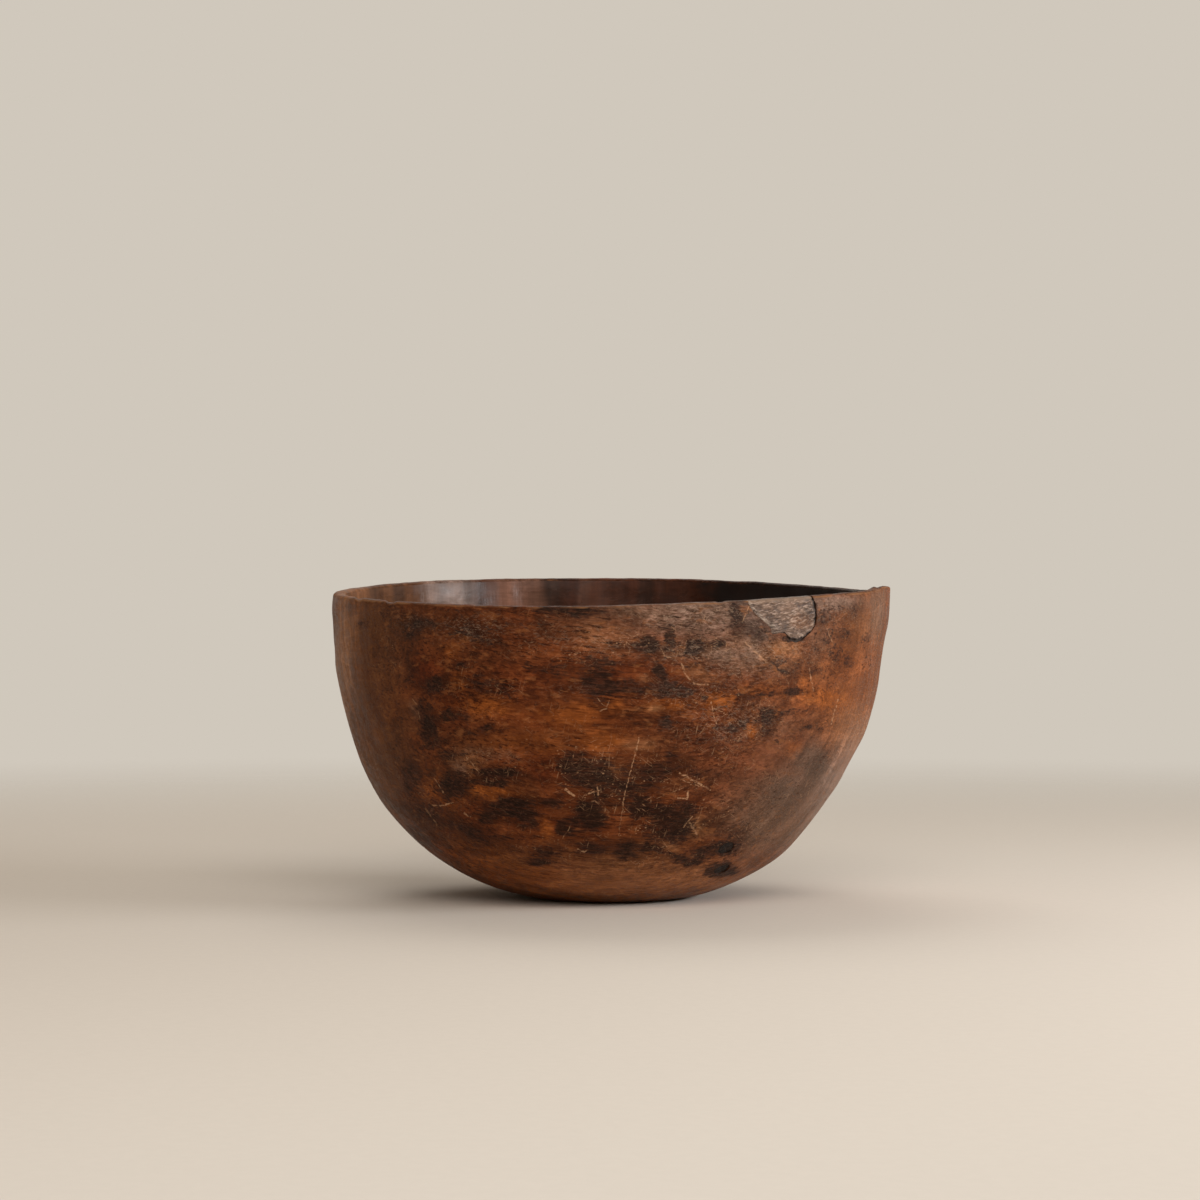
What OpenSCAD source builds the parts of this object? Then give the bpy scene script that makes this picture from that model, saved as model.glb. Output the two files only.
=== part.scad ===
// Dough bowl carved from one block of wood, with a let-in patch at the rim and two dead knots.
// Frame: the worn flat rests on z = 0, the front is -Y, the grain runs along X, millimetres.

/* [Mouth] */
// Width of the mouth along the grain, outside
mouth_w = 350; // [280:1:440]
// Depth of the mouth across the grain, outside (wood shrinks more this way)
mouth_d = 343; // [274:1:440]
// Height of the rim above the table, halfway along its lean
rim_h = 192.5; // [150:0.5:250]
// Lean of the mouth towards the front, degrees
mouth_lean = 3.1; // [0:0.1:4]
// Lean of the mouth towards the left, degrees
side_lean = 0.25; // [0:0.05:1]

/* [Wall] */
// Thickness of the wall at the rim
rim_t = 7; // [5:0.5:12]
// Thickness of the bowl at the middle of its floor
floor_t = 15; // [11:0.5:24]
// Width of the worn flat, before the bowl leans
foot_w = 94; // [76:1:120]
// Fullness of the wall across (2 is an ellipse, more is fuller low down)
full_across = 2.66; // [2.3:0.02:2.9]
// Fullness of the wall upwards
full_up = 2.04; // [1.9:0.02:2.3]
// How far the edges of the rim are worn back
rim_wear = 1.8; // [1:0.1:2.2]

/* [Carving] */
// How far the belly stands off to the left of the mouth
belly_off = 5.4; // [0:0.2:8]
// How far the wall sways to and fro on its way up
sway = 0.7; // [0:0.1:2]
// Height from one sway to the right to the next
sway_pitch = 92; // [60:1:140]
// Height of one sway to the right
sway_h = 113; // [80:1:150]
// Depth of the tool flats round the wall
flat_depth = 0.5; // [0:0.05:1]
// Number of tool flats round the wall
flat_count = 13; // [7:1:19]
// Height over which the slanting tool flats repeat
flat_run = 156; // [100:1:240]

/* [Rim] */
// Height of the twofold waver of the rim
waver_two = 1.65; // [0:0.05:3]
// Heading of a crest of the twofold waver, degrees from +X
waver_two_at = -43; // [-90:1:90]
// Height of the threefold waver of the rim
waver_three = 0.9; // [0:0.05:2]
// Heading of a crest of the threefold waver, degrees from +X
waver_three_at = -27; // [-60:1:60]
// Height of the lip left at the right end of the rim
lip_h = 1.8; // [0:0.1:4]
// Heading of the lip, degrees from +X
lip_at = -8; // [-20:1:20]
// Half width of the lip, degrees
lip_half = 13; // [8:1:20]

/* [Patch] */
// Heading of the patch, degrees from +X
patch_at = -55; // [-75:1:-40]
// Roundness of the patch's outline between its points (0 is straight)
patch_round = 0.5; // [0:0.05:0.6]
// How far the pitch lies below the wood on both faces
pitch_sink = 0.6; // [0.2:0.1:1.2]
// Width of the pitch seam, as a share of its drawn width
pitch_share = 1; // [0.6:0.05:1.4]

/* [Knots] */
// Width of the knots at the face of the wall
knot_w = 11; // [8:0.5:14]
// Width of the knots at their inner end
knot_tip_w = 8; // [5:0.5:10]
// Depth of the knots in the wall
knot_deep = 8; // [5:0.5:9]
// How far the knots have shrunk below the face of the wall
knot_sink = 0.5; // [0.2:0.1:1]
// Gap left round the knots by the same shrinking
knot_gap = 0.15; // [0:0.05:0.4]
// Heading of the upper knot, degrees from +X
upper_knot_at = -54.5; // [-80:0.5:-40]
// Height of the upper knot on the wall
upper_knot_h = 41.5; // [40:0.5:60]
// Heading of the lower knot, degrees from +X
lower_knot_at = -50.5; // [-80:0.5:-40]
// Height of the lower knot on the wall
lower_knot_h = 26.5; // [20:0.5:28]

/* [Hidden] */
// columns round the bowl, rows up the outside and up the inside
cols = 84;
rows_out = 18;
rows_in = 15;
mouth_rx = mouth_w / 2;
mouth_ry = mouth_d / 2;
// depth of the whole curve, so that it is foot_w wide where it meets the table
curve_b = rim_h / pow(1 - pow(foot_w / mouth_w, full_across), 1 / full_up);
// the belly is fullest below the middle, and the lip runs out in this many degrees
belly_low = 0.57;
lip_ease = 8;
// heights over which the carving runs out at the foot and at the rim
foot_fade = 20;
rim_fade = 30;
// reach of the notch inwards and outwards from the mouth's outline, and of the knots' sockets out of the wall
notch_in = 45;
notch_out = 20;
socket_out = 4;
// thickness of the slab that cuts the worn flat
table_t = 60;
// outline of the patch seen from outside: across, up from the rim, width of the seam there
patch_line = [[-24.5, 9, 0.9], [-23, -1, 0.9], [-19, -7.5, 0.8], [-8, -16.5, 0.8], [-6.5, -20, 0.8], [2.5, -20, 0.9], [6.5, -23, 1.8],
              [12.5, -24.5, 2.2], [18, -22, 2.3], [23, -18.5, 2.4], [25.5, -14, 2.4], [24.5, -5.5, 2.2], [21.5, 0, 2], [20.5, 9, 1.8]];
patch_last = len(patch_line) - 1;
$fn = 48;

function clip(v, lo, hi) = min(max(v, lo), hi);
function smooth(v) = let (u = clip(v, 0, 1)) u * u * (3 - 2 * u);
// turn between two headings
function turn(a, b) = abs(((a - b + 540) % 360) - 180);

// height of the rim over its plane at one heading
function rise(a) = waver_two * cos(2 * (a - waver_two_at)) + waver_three * cos(3 * (a - waver_three_at))
    + lip_h * smooth((lip_half - turn(a, lip_at)) / lip_ease + 0.5);

// sideways bend and sway of the wall, and the tool flats, at one height
function fade(z) = smooth(z / foot_fade) * smooth((rim_h - z) / rim_fade);
function bend(z) = -belly_off * sin(180 * pow(clip(z / rim_h, 0, 1), belly_low)) + fade(z) * sway * cos(360 * (z - sway_h) / sway_pitch);
function carve(a, z) = fade(z) * flat_depth * cos(flat_count * a + 360 * z / flat_run) * cos(2 * a - 270 * z / flat_run);

// a point of the wall: heading, share of the way up, half widths, depth, drop at the rim, share of the carving
function wall(a, t, rx, ry, b, drop, share) =
    let (f = 90 * (1 - t), u = pow(cos(f), 2 / full_across), z = rim_h - b * pow(sin(f), 2 / full_up), w = share * carve(a, z))
    [(rx * u + w) * cos(a) + bend(z), (ry * u + w) * sin(a), z - drop + rise(a) * pow(t, 4)];
function outside(a, t, skin, drop) = wall(a, t, mouth_rx - skin, mouth_ry - skin, curve_b - skin, drop, 1);
function inside(a, t, skin, drop) =
    wall(a, t, mouth_rx - rim_t + skin, mouth_ry - rim_t + skin, rim_h - floor_t + skin, drop, 0.5);
function ring_out(t, skin, drop) = [for (i = [0 : cols - 1]) outside(360 * i / cols, t, skin, drop)];
function ring_in(t, skin, drop) = [for (i = [0 : cols - 1]) inside(360 * i / cols, t, skin, drop)];

// the whole shell, with all its faces drawn in by a skin
module shell(skin) {
    up = [for (k = [0 : rows_out - 1]) ring_out(0.0125 + 0.9875 * k / rows_out, skin, 0)];
    edge = [ring_out(1, skin, rim_wear + skin), ring_out(1, rim_wear + skin, skin),
            ring_in(1, rim_wear + skin, skin), ring_in(1, skin, rim_wear + skin)];
    down = [for (k = [rows_in - 1 : -1 : 1]) ring_in(k / rows_in, skin, 0)];
    rings = concat(up, edge, down);
    n = len(rings) - 1;
    c = cols;
    points = concat([for (r = rings) each r], [[bend(floor_t - skin), 0, floor_t - skin]]);
    faces = concat([[for (i = [0 : c - 1]) i]],
        [for (k = [0 : n - 1]) for (i = [0 : c - 1]) let (j = (i + 1) % c) [k * c + i, (k + 1) * c + i, (k + 1) * c + j]],
        [for (k = [0 : n - 1]) for (i = [0 : c - 1]) let (j = (i + 1) % c) [k * c + i, (k + 1) * c + j, k * c + j]],
        [for (i = [0 : c - 1]) let (j = (i + 1) % c) [n * c + i, (n + 1) * c, n * c + j]]);
    polyhedron(points = points, faces = faces, convexity = 8);
}

// the carved bowl leans on its worn flat
module leaned() {
    translate([0, 0, rim_h]) rotate([mouth_lean, -side_lean, 0]) translate([0, 0, -rim_h]) children();
}
module table() {
    translate([-mouth_w, -mouth_d, -table_t]) cube([2 * mouth_w, 2 * mouth_d, table_t]);
}

// outline of the patch, grown by a share of the seam, as a curve through its points
function patch_side(i) = let (d = patch_line[min(i + 1, patch_last)] - patch_line[max(i - 1, 0)])
    [d[1], -d[0]] / norm([d[0], d[1]]);
function patch_point(i, grow) = let (k = clip(i, 0, patch_last))
    [patch_line[k][0], patch_line[k][1]] + grow * pitch_share * patch_line[k][2] * patch_side(k);
function curve(p, q, r, s, v) = (2 * v * v * v - 3 * v * v + 1) * q + (3 * v * v - 2 * v * v * v) * r
    + (v * v * v - 2 * v * v + v) * patch_round * (r - p) + (v * v * v - v * v) * patch_round * (s - q);
function patch_outline(grow) = concat([patch_point(0, grow)],
    [for (i = [0 : patch_last - 1]) for (v = [1 / 3, 2 / 3, 1])
        curve(patch_point(i - 1, grow), patch_point(i, grow), patch_point(i + 1, grow), patch_point(i + 2, grow), v)]);
module patch_prism(grow) {
    r = norm([mouth_rx * cos(patch_at), mouth_ry * sin(patch_at)]);
    rotate([0, 0, patch_at]) translate([r - notch_in, 0, rim_h + rise(patch_at)])
        rotate([90, 0, 90]) linear_extrude(height = notch_in + notch_out) polygon(patch_outline(grow));
}

// a knot's cone, set square to the wall at a heading and a height
module knot_cone(a, h, gap) {
    t = 1 - asin(pow((rim_h - h) / curve_b, full_up / 2)) / 90;
    p = outside(a, t, 0, 0);
    across = outside(a + 1, t, 0, 0) - outside(a - 1, t, 0, 0);
    up = outside(a, t + 0.01, 0, 0) - outside(a, t - 0.01, 0, 0);
    n = cross(across, up) / norm(cross(across, up));
    grow = (knot_w - knot_tip_w) / knot_deep;
    translate(p) rotate([0, acos(n[2]), atan2(n[1], n[0])]) translate([0, 0, -knot_deep])
        cylinder(h = knot_deep + socket_out, d1 = knot_tip_w - 2 * gap, d2 = knot_w + socket_out * grow - 2 * gap);
}
module knot(a, h) {
    leaned() intersection() {
        shell(knot_sink);
        knot_cone(a, h, knot_gap);
    }
}

module bowl_body() {
    color([0.36, 0.19, 0.09]) difference() {
        leaned() shell(0);
        leaned() patch_prism(1);
        leaned() knot_cone(upper_knot_at, upper_knot_h, 0);
        leaned() knot_cone(lower_knot_at, lower_knot_h, 0);
        table();
    }
}
module rim_patch() {
    color([0.40, 0.31, 0.24]) leaned() intersection() {
        shell(0);
        patch_prism(0);
    }
}
module seam_pitch() {
    color([0.06, 0.045, 0.04]) leaned() difference() {
        intersection() {
            shell(pitch_sink);
            patch_prism(1);
        }
        patch_prism(0);
    }
}
module upper_knot() {
    color([0.09, 0.05, 0.035]) knot(upper_knot_at, upper_knot_h);
}
module lower_knot() {
    color([0.09, 0.05, 0.035]) knot(lower_knot_at, lower_knot_h);
}

bowl_body();
rim_patch();
seam_pitch();
upper_knot();
lower_knot();
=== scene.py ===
import math
import bpy
import numpy as np
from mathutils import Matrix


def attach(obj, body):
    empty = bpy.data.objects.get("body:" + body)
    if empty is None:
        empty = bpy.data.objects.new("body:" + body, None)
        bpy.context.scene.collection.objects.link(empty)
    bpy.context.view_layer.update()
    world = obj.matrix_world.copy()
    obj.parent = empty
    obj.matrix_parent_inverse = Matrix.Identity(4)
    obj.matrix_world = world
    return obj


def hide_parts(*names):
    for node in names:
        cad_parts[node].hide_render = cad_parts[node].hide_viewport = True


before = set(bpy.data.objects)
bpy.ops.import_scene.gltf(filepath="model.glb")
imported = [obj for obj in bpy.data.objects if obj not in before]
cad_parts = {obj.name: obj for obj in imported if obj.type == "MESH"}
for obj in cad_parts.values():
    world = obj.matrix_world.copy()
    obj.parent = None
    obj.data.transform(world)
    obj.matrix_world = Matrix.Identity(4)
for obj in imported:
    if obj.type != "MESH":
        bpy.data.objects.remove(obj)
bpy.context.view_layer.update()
print("frame loaded:", ", ".join(sorted(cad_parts)))

scene = bpy.context.scene
scene.view_settings.view_transform = "Standard"
millimetre = 0.001
sharpAngle = 48.0  # edges that turn more than this stay crisp

# the carved wall in millimetres and degrees, by the same rule as the solids
bowlWall = {
    "mouthWide": 350.0,
    "mouthDeep": 343.0,
    "rimHeight": 192.5,
    "frontLean": 3.1,
    "sideLean": 0.25,
    "rimThick": 7.0,
    "floorThick": 15.0,
    "footWide": 94.0,
    "fullAcross": 2.66,
    "fullUp": 2.04,
    "rimWear": 1.8,
    "bellyOff": 5.4,
    "bellyLow": 0.57,
    "sway": 0.7,
    "swayPitch": 92.0,
    "swayHeight": 113.0,
    "flatDepth": 0.5,
    "flatCount": 13,
    "flatRun": 156.0,
    "innerFlats": 0.5,
    "footFade": 20.0,
    "footRound": 0.4,
    "rimFade": 30.0,
    "waverTwo": 1.65,
    "waverTwoAt": -43.0,
    "waverThree": 0.9,
    "waverThreeAt": -27.0,
    "lipHeight": 1.8,
    "lipAt": -8.0,
    "lipHalf": 13.0,
    "lipEase": 8.0,
}

# where the photograph was taken from, in millimetres, and its focal length in pixels
photoView = {
    "x": -7.65,
    "y": -1901.0,
    "z": 171.9,
    "pitch": 0.446,
    "focal": 3007.0,
    "image": 1200,
    "sensor": 36.0,
    "farthest": 50.0,
}


def ease(v):
    u = np.clip(v, 0.0, 1.0)
    return u * u * (3.0 - 2.0 * u)


def cosDeg(v):
    return np.cos(np.radians(v))


def sinDeg(v):
    return np.sin(np.radians(v))


def turnFrom(heading, other):
    return (heading - other + 540.0) % 360.0 - 180.0


def rimRise(heading):
    w = bowlWall
    two = w["waverTwo"] * cosDeg(2 * (heading - w["waverTwoAt"]))
    three = w["waverThree"] * cosDeg(3 * (heading - w["waverThreeAt"]))
    away = np.abs(turnFrom(heading, w["lipAt"]))
    return two + three + w["lipHeight"] * ease((w["lipHalf"] - away) / w["lipEase"] + 0.5)


def carveFade(z):
    w = bowlWall
    return ease(z / w["footFade"]) * ease((w["rimHeight"] - z) / w["rimFade"])


def wallBend(z):
    w = bowlWall
    share = np.clip(z / w["rimHeight"], 0.0, 1.0) ** w["bellyLow"]
    swing = w["sway"] * cosDeg(360.0 * (z - w["swayHeight"]) / w["swayPitch"])
    return -w["bellyOff"] * sinDeg(180.0 * share) + carveFade(z) * swing


def toolFlats(heading, z):
    w = bowlWall
    first = cosDeg(w["flatCount"] * heading + 360.0 * z / w["flatRun"])
    return carveFade(z) * w["flatDepth"] * first * cosDeg(2 * heading - 270.0 * z / w["flatRun"])


def wallDepth(inner):
    w = bowlWall
    if inner:
        return w["rimHeight"] - w["floorThick"]
    share = (w["footWide"] / w["mouthWide"]) ** w["fullAcross"]
    return w["rimHeight"] / (1 - share) ** (1 / w["fullUp"])


# how much of the rim's rise is left, for an angle of 0 at the rim to 90 at the middle of the floor
def riseShare(angle):
    return (1 - angle / 90.0) ** 4


def wallPoint(heading, angle, inner):
    w = bowlWall
    reach = np.clip(cosDeg(angle), 0.0, 1.0) ** (2 / w["fullAcross"])
    z = w["rimHeight"] - wallDepth(inner) * np.clip(sinDeg(angle), 0.0, 1.0) ** (2 / w["fullUp"])
    thick = w["rimThick"] if inner else 0.0
    cut = toolFlats(heading, z) * (w["innerFlats"] if inner else 1.0)
    x = ((w["mouthWide"] / 2 - thick) * reach + cut) * cosDeg(heading) + wallBend(z)
    y = ((w["mouthDeep"] / 2 - thick) * reach + cut) * sinDeg(heading)
    return np.stack([x, y, z + rimRise(heading) * riseShare(angle)], -1)


def leanBowl(p):
    w = bowlWall
    side = math.radians(-w["sideLean"])
    front = math.radians(w["frontLean"])
    z = p[..., 2] - w["rimHeight"]
    x = p[..., 0] * math.cos(side) + z * math.sin(side)
    z = z * math.cos(side) - p[..., 0] * math.sin(side)
    y = p[..., 1] * math.cos(front) - z * math.sin(front)
    z = p[..., 1] * math.sin(front) + z * math.cos(front)
    return np.stack([x, y, z + w["rimHeight"]], -1)


def photoPixel(p):
    c = photoView
    tip = math.radians(c["pitch"])
    ahead = (p[..., 1] - c["y"]) * math.cos(tip) + (p[..., 2] - c["z"]) * math.sin(tip)
    above = (p[..., 2] - c["z"]) * math.cos(tip) - (p[..., 1] - c["y"]) * math.sin(tip)
    half = c["image"] / 2
    return half + c["focal"] * (p[..., 0] - c["x"]) / ahead, half - c["focal"] * above / ahead


# noise worked out on the vertices, the same on every run
def cellHash(ix, iy, iz, seed):
    h = ix * 374761393 + iy * 668265263 + iz * 1440662683 + seed * 974634777
    h = (h ^ (h >> 13)) * 1274126177
    h = (h ^ (h >> 16)) & 0x7FFFFFFF
    return h / 2147483647.0


def softNoise(p, seed):
    base = np.floor(p)
    cell = base.astype(np.int64)
    part = p - base
    part = part * part * (3.0 - 2.0 * part)
    total = np.zeros(p.shape[:-1])
    for corner in range(8):
        o = np.array([corner & 1, corner >> 1 & 1, corner >> 2 & 1])
        weight = np.prod(np.where(o == 1, part, 1.0 - part), axis=-1)
        total += weight * cellHash(cell[..., 0] + o[0], cell[..., 1] + o[1], cell[..., 2] + o[2], seed)
    return total * 2.0 - 1.0


def layeredNoise(p, seed, layers):
    total = np.zeros(p.shape[:-1])
    for k in range(layers):
        total += softNoise(p * 2.0 ** k, seed + 7 * k) * 0.5 ** k
    return total / (2.0 - 0.5 ** (layers - 1))


# distance to the nearest stroke's middle, as a share of the stroke's size
def strokeCells(p, seed):
    cell = np.floor(p).astype(np.int64)
    first = np.full(p.shape[:-1], 9.0)
    for n in range(27):
        o = np.array([n % 3 - 1, n // 3 % 3 - 1, n // 9 - 1])
        c = cell + o
        gap = np.zeros(p.shape[:-1])
        for k in range(3):
            spot = c[..., k] + cellHash(c[..., 0], c[..., 1], c[..., 2], seed + k)
            gap += (p[..., k] - spot) ** 2
        first = np.minimum(first, gap)
    return np.sqrt(first)


# a mesh from vertices in millimetres, four-sided and three-sided faces, and their UVs
def makePiece(name, points, quads, tris, quadUV, triUV):
    mesh = bpy.data.meshes.new(name)
    corners = np.concatenate([quads.ravel(), tris.ravel()]).astype(np.int32)
    starts = np.concatenate([np.arange(len(quads)) * 4, len(quads) * 4 + np.arange(len(tris)) * 3])
    mesh.vertices.add(len(points))
    mesh.vertices.foreach_set("co", (points * millimetre).astype(np.float32).ravel())
    mesh.loops.add(len(corners))
    mesh.loops.foreach_set("vertex_index", corners)
    mesh.polygons.add(len(starts))
    mesh.polygons.foreach_set("loop_start", starts.astype(np.int32))
    mesh.polygons.foreach_set("use_smooth", np.ones(len(starts), dtype=bool))
    uv = mesh.uv_layers.new(name="OFBake")
    flat = np.concatenate([quadUV.reshape(-1, 2), triUV.reshape(-1, 2)]).astype(np.float32)
    uv.data.foreach_set("uv", flat.ravel())
    mesh.update(calc_edges=True)
    mesh.validate()
    mesh.set_sharp_from_angle(angle=math.radians(sharpAngle))
    piece = bpy.data.objects.new(name, mesh)
    scene.collection.objects.link(piece)
    return piece


# the four corners of each face on the bake map
def cornerUV(u0, v0, u1, v1):
    corners = ((u0, v0), (u1, v0), (u1, v1), (u0, v1))
    return np.stack([np.stack(corner, -1) for corner in corners], 1)


# small squares in rows on the bake map, for the faces that hardly show
def spareUV(count, perRow, step, left, low, rowStep):
    slot = np.arange(count)
    corner = np.array([[0, 0], [1, 0], [1, 1], [0, 1]]) * 0.004
    return np.stack([slot % perRow / step + left, low + slot // perRow * rowStep], -1)[:, None] + corner[None]


def paintValue(piece, name, values):
    layer = piece.data.attributes.new(name, "FLOAT", "POINT")
    layer.data.foreach_set("value", np.asarray(values, dtype=np.float32).ravel())


def paintColour(piece, name, values):
    layer = piece.data.attributes.new(name, "FLOAT_COLOR", "POINT")
    full = np.concatenate([values, np.ones(values.shape[:-1] + (1,))], -1)
    layer.data.foreach_set("color", full.astype(np.float32).ravel())


def linearTone(rgb):
    v = np.asarray(rgb, dtype=float) / 255.0
    return np.where(v <= 0.04045, v / 12.92, ((v + 0.055) / 1.055) ** 2.4)


# the let-in patch: its outline seen from outside, across and up from the rim, the seam's width there,
# and how far the patch has swollen shut over it
rimPatch = {
    "heading": 305.0,
    "round": 0.5,
    "outline": [
        (-24.5, 9, 0.9, 0.85), (-23, -1, 0.9, 0.85), (-19, -7.5, 0.8, 0.85), (-8, -16.5, 0.8, 0.85),
        (-6.5, -20, 0.8, 0.7), (2.5, -20, 0.9, 0.5), (6.5, -23, 1.8, 0.1), (12.5, -24.5, 2.2, 0.05),
        (18, -22, 2.3, 0.5), (23, -18.5, 2.4, 0.6), (25.5, -14, 2.4, 0.3), (24.5, -5.5, 2.2, 0.25),
        (21.5, 0, 2, 0.5), (20.5, 9, 1.8, 0.3),
    ],
    "lowLeft": 4,
    "lowRight": 9,
    "across": 96,
    "down": 48,
    "perSpan": 24,
    "mostShut": 0.86,
    "wallReach": 172.0,
    "stepReach": 170.0,
    "settleSteps": 7,
    "turnLeft": 7.4,
    "turnRight": 8.6,
    "slideTurn": 25.0,
    "slideDrop": 80.0,
    "slidePower": 1.6,
    "slideReach": 40.0,
    "slideRows": 8.0,
}


def patchPlane(p):
    at = rimPatch["heading"]
    across = p[..., 1] * cosDeg(at) - p[..., 0] * sinDeg(at)
    return across, p[..., 2] - bowlWall["rimHeight"] - rimRise(at)


def placeOnWall(across, up, inner):
    at = rimPatch["heading"]
    heading = at + np.degrees(np.arcsin(np.clip(across / rimPatch["wallReach"], -0.9, 0.9)))
    angle = np.full(np.shape(across), 5.0)
    for step in range(rimPatch["settleSteps"]):
        drop = rimRise(heading) * riseShare(angle) - rimRise(at) - up
        share = np.clip(drop / wallDepth(inner), 1e-7, 1.0)
        angle = np.degrees(np.arcsin(share ** (bowlWall["fullUp"] / 2)))
        now, high = patchPlane(wallPoint(heading, angle, inner))
        heading = heading + np.degrees((across - now) / (rimPatch["stepReach"] * cosDeg(heading - at)))
    return heading, angle


# the outline as a smooth line; grow is 0 at the patch as cut and 1 at the notch
def outlineCurve(grow):
    line = np.array(rimPatch["outline"], dtype=float)
    last = len(line) - 1
    spots = []
    for k in range(last + 1):
        d = line[min(k + 1, last), :2] - line[max(k - 1, 0), :2]
        out = np.array([d[1], -d[0]]) / math.hypot(d[0], d[1])
        spots.append(line[k, :2] + grow * line[k, 2] * out)
    curve = []
    for k in range(last):
        p, q = spots[max(k - 1, 0)], spots[k]
        r, s = spots[k + 1], spots[min(k + 2, last)]
        for v in np.arange(rimPatch["perSpan"]) / rimPatch["perSpan"]:
            a = (2 * v ** 3 - 3 * v ** 2 + 1) * q + (3 * v ** 2 - 2 * v ** 3) * r
            b = (v ** 3 - 2 * v ** 2 + v) * (r - p) + (v ** 3 - v ** 2) * (s - q)
            curve.append(a + rimPatch["round"] * b)
    return np.array(curve + [spots[last]])


# left side, bottom and right side of the patch (0) or of the notch (1), cut at the rim
def patchSides(grow):
    curve = outlineCurve(1)
    if not grow:
        line = np.array(rimPatch["outline"], dtype=float)
        step = np.arange(len(curve)) / rimPatch["perSpan"]
        shut = np.interp(step, np.arange(len(line)), line[:, 3])
        shut = shut + 0.16 * np.sin(step * 7.3) + 0.12 * np.sin(step * 17.1 + 1.0)
        curve = curve + (outlineCurve(0) - curve) * (1 - np.clip(shut, 0.0, rimPatch["mostShut"]))[:, None]
    low, high = [rimPatch["perSpan"] * rimPatch[end] for end in ("lowLeft", "lowRight")]
    left, bottom, right = curve[:low + 1], curve[low:high + 1], curve[high:]
    return cutAtRim(left), bottom, cutAtRim(right[::-1])


def cutAtRim(side):
    head = rimPatch["heading"] + np.degrees(np.arcsin(side[:, 0] / rimPatch["wallReach"]))
    over = side[:, 1] - (rimRise(head) - rimRise(rimPatch["heading"]) - bowlWall["rimWear"])
    k = int(np.argmax(over < 0))
    share = over[k - 1] / (over[k - 1] - over[k])
    first = side[k - 1] + share * (side[k] - side[k - 1])
    return np.concatenate([[first], side[k:]])


def along(line, shares):
    step = np.hypot(np.diff(line[:, 0]), np.diff(line[:, 1]))
    run = np.concatenate([[0.0], np.cumsum(step)])
    run = run / run[-1]
    return np.stack([np.interp(shares, run, line[:, 0]), np.interp(shares, run, line[:, 1])], -1)


# the bowl itself: one dense skin over the outside, the rim and the inside
bowlBody = {
    "columns": 1080,
    "firstHeading": 90.0,
    "outerStep": 0.88,
    "innerStep": 0.88,
    "innerCoarse": 1.1,
    "coarseFrom": 60.0,
    "coarseRun": 60.0,
    "middleGap": 4.0,
    "rimRows": 12,
    "notchRows": 24,
    "edgeSquare": 0.72,
    "outerStroke": (30.0, 24.0, 21.0),
    "outerStrokeDeep": 0.36,
    "innerStroke": (15.0, 15.0, 40.0),
    "innerStrokeDeep": 0.14,
    "strokeLevel": 0.35,
    "rimCalm": 0.35,
    "rimCalmRun": 14.0,
    "innerFlare": 2.4,
    "innerFlareRun": 14.0,
    "innerFlareAt": 132.0,
    "innerFlareHalf": 40.0,
    "innerFlareFrom": 30.0,
    "innerFlareRise": 90.0,
    "softWaver": 0.3,
    "softCell": 34.0,
    "fineWaver": 0.06,
    "fineCell": (7.0, 4.0, 2.6),
    "rimRagged": 0.4,
    "raggedCell": 13.0,
    "raggedFrom": 9.0,
    "raggedRun": 7.0,
    # heading, half, rise
    "rimSway": [(62.0, 30.0, 1.7), (18.0, 15.0, -1.1), (-17.0, 11.0, 0.9), (136.0, 22.0, 0.9)],
    # swells of the two ends, and hollows where the front's stains lie: heading, half, height, half, size
    "swells": [
        (4.0, 48.0, 95.0, 62.0, 1.5), (2.0, 40.0, 172.0, 9.0, 0.5), (2.0, 40.0, 134.0, 8.0, 0.3),
        (2.0, 40.0, 106.0, 9.0, 0.4), (2.0, 40.0, 71.0, 8.0, 0.7), (0.0, 45.0, 26.0, 10.0, 0.8),
        (180.0, 34.0, 184.0, 10.0, 1.1), (180.0, 34.0, 156.0, 8.0, -0.5),
    ],
    "hollows": [
        (-82, 5, 166, 8, 0.6), (-77, 3, 167, 8, 0.4), (-71, 4, 163, 7, 0.5), (-80, 3, 149, 7, 0.5),
        (-48, 3, 137, 4, 0.7), (-55, 8, 134, 2.5, 0.4), (-132, 3, 113, 9, 0.5), (-130, 4, 140, 7, 0.4),
        (-131, 6, 76, 9, 0.5), (-95, 7, 57, 10, 0.5), (-82, 6, 61, 7, 0.5), (-71, 7, 48, 9, 0.5),
    ],
    # x in the photograph, half, depth
    "chips": [(359, 3.0, 0.9), (391, 4.5, 1.1), (720, 4.0, 0.5), (878, 3.0, 0.8)],
}

deadKnots = {
    "upper": {"heading": -54.5, "height": 41.5},
    "lower": {"heading": -50.5, "height": 26.5},
    "wide": 11.0,
    "tipWide": 8.0,
    "deep": 8.0,
    "sink": 0.3,
    "gap": 0.1,
    "nearHigh": 4.0,
    "nearAcross": 9.0,
    "snap": 0.62,
    "shy": 0.6,
    "socketDeep": 2.4,
    "turns": 72,
    "steps": 16,
    "rings": 19.0,
    "ringHigh": 0.07,
    "dome": 340.0,
    "edgeDrop": 0.2,
    # depth, turn, half
    "cracks": [(0.25, 0.6, 0.12), (0.2, 2.2, 0.1)],
    "black": (20, 13, 10),
    "brown": (40, 27, 20),
    "dust": (66, 45, 33),
    "ray": (2.0, 2.0, 1.4),
    "cloud": (6.0, 6.0, 5.0),
    "gloss": 0.2,
    "bump": 0.6,
    "bumpDeep": 0.5,
}


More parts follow.
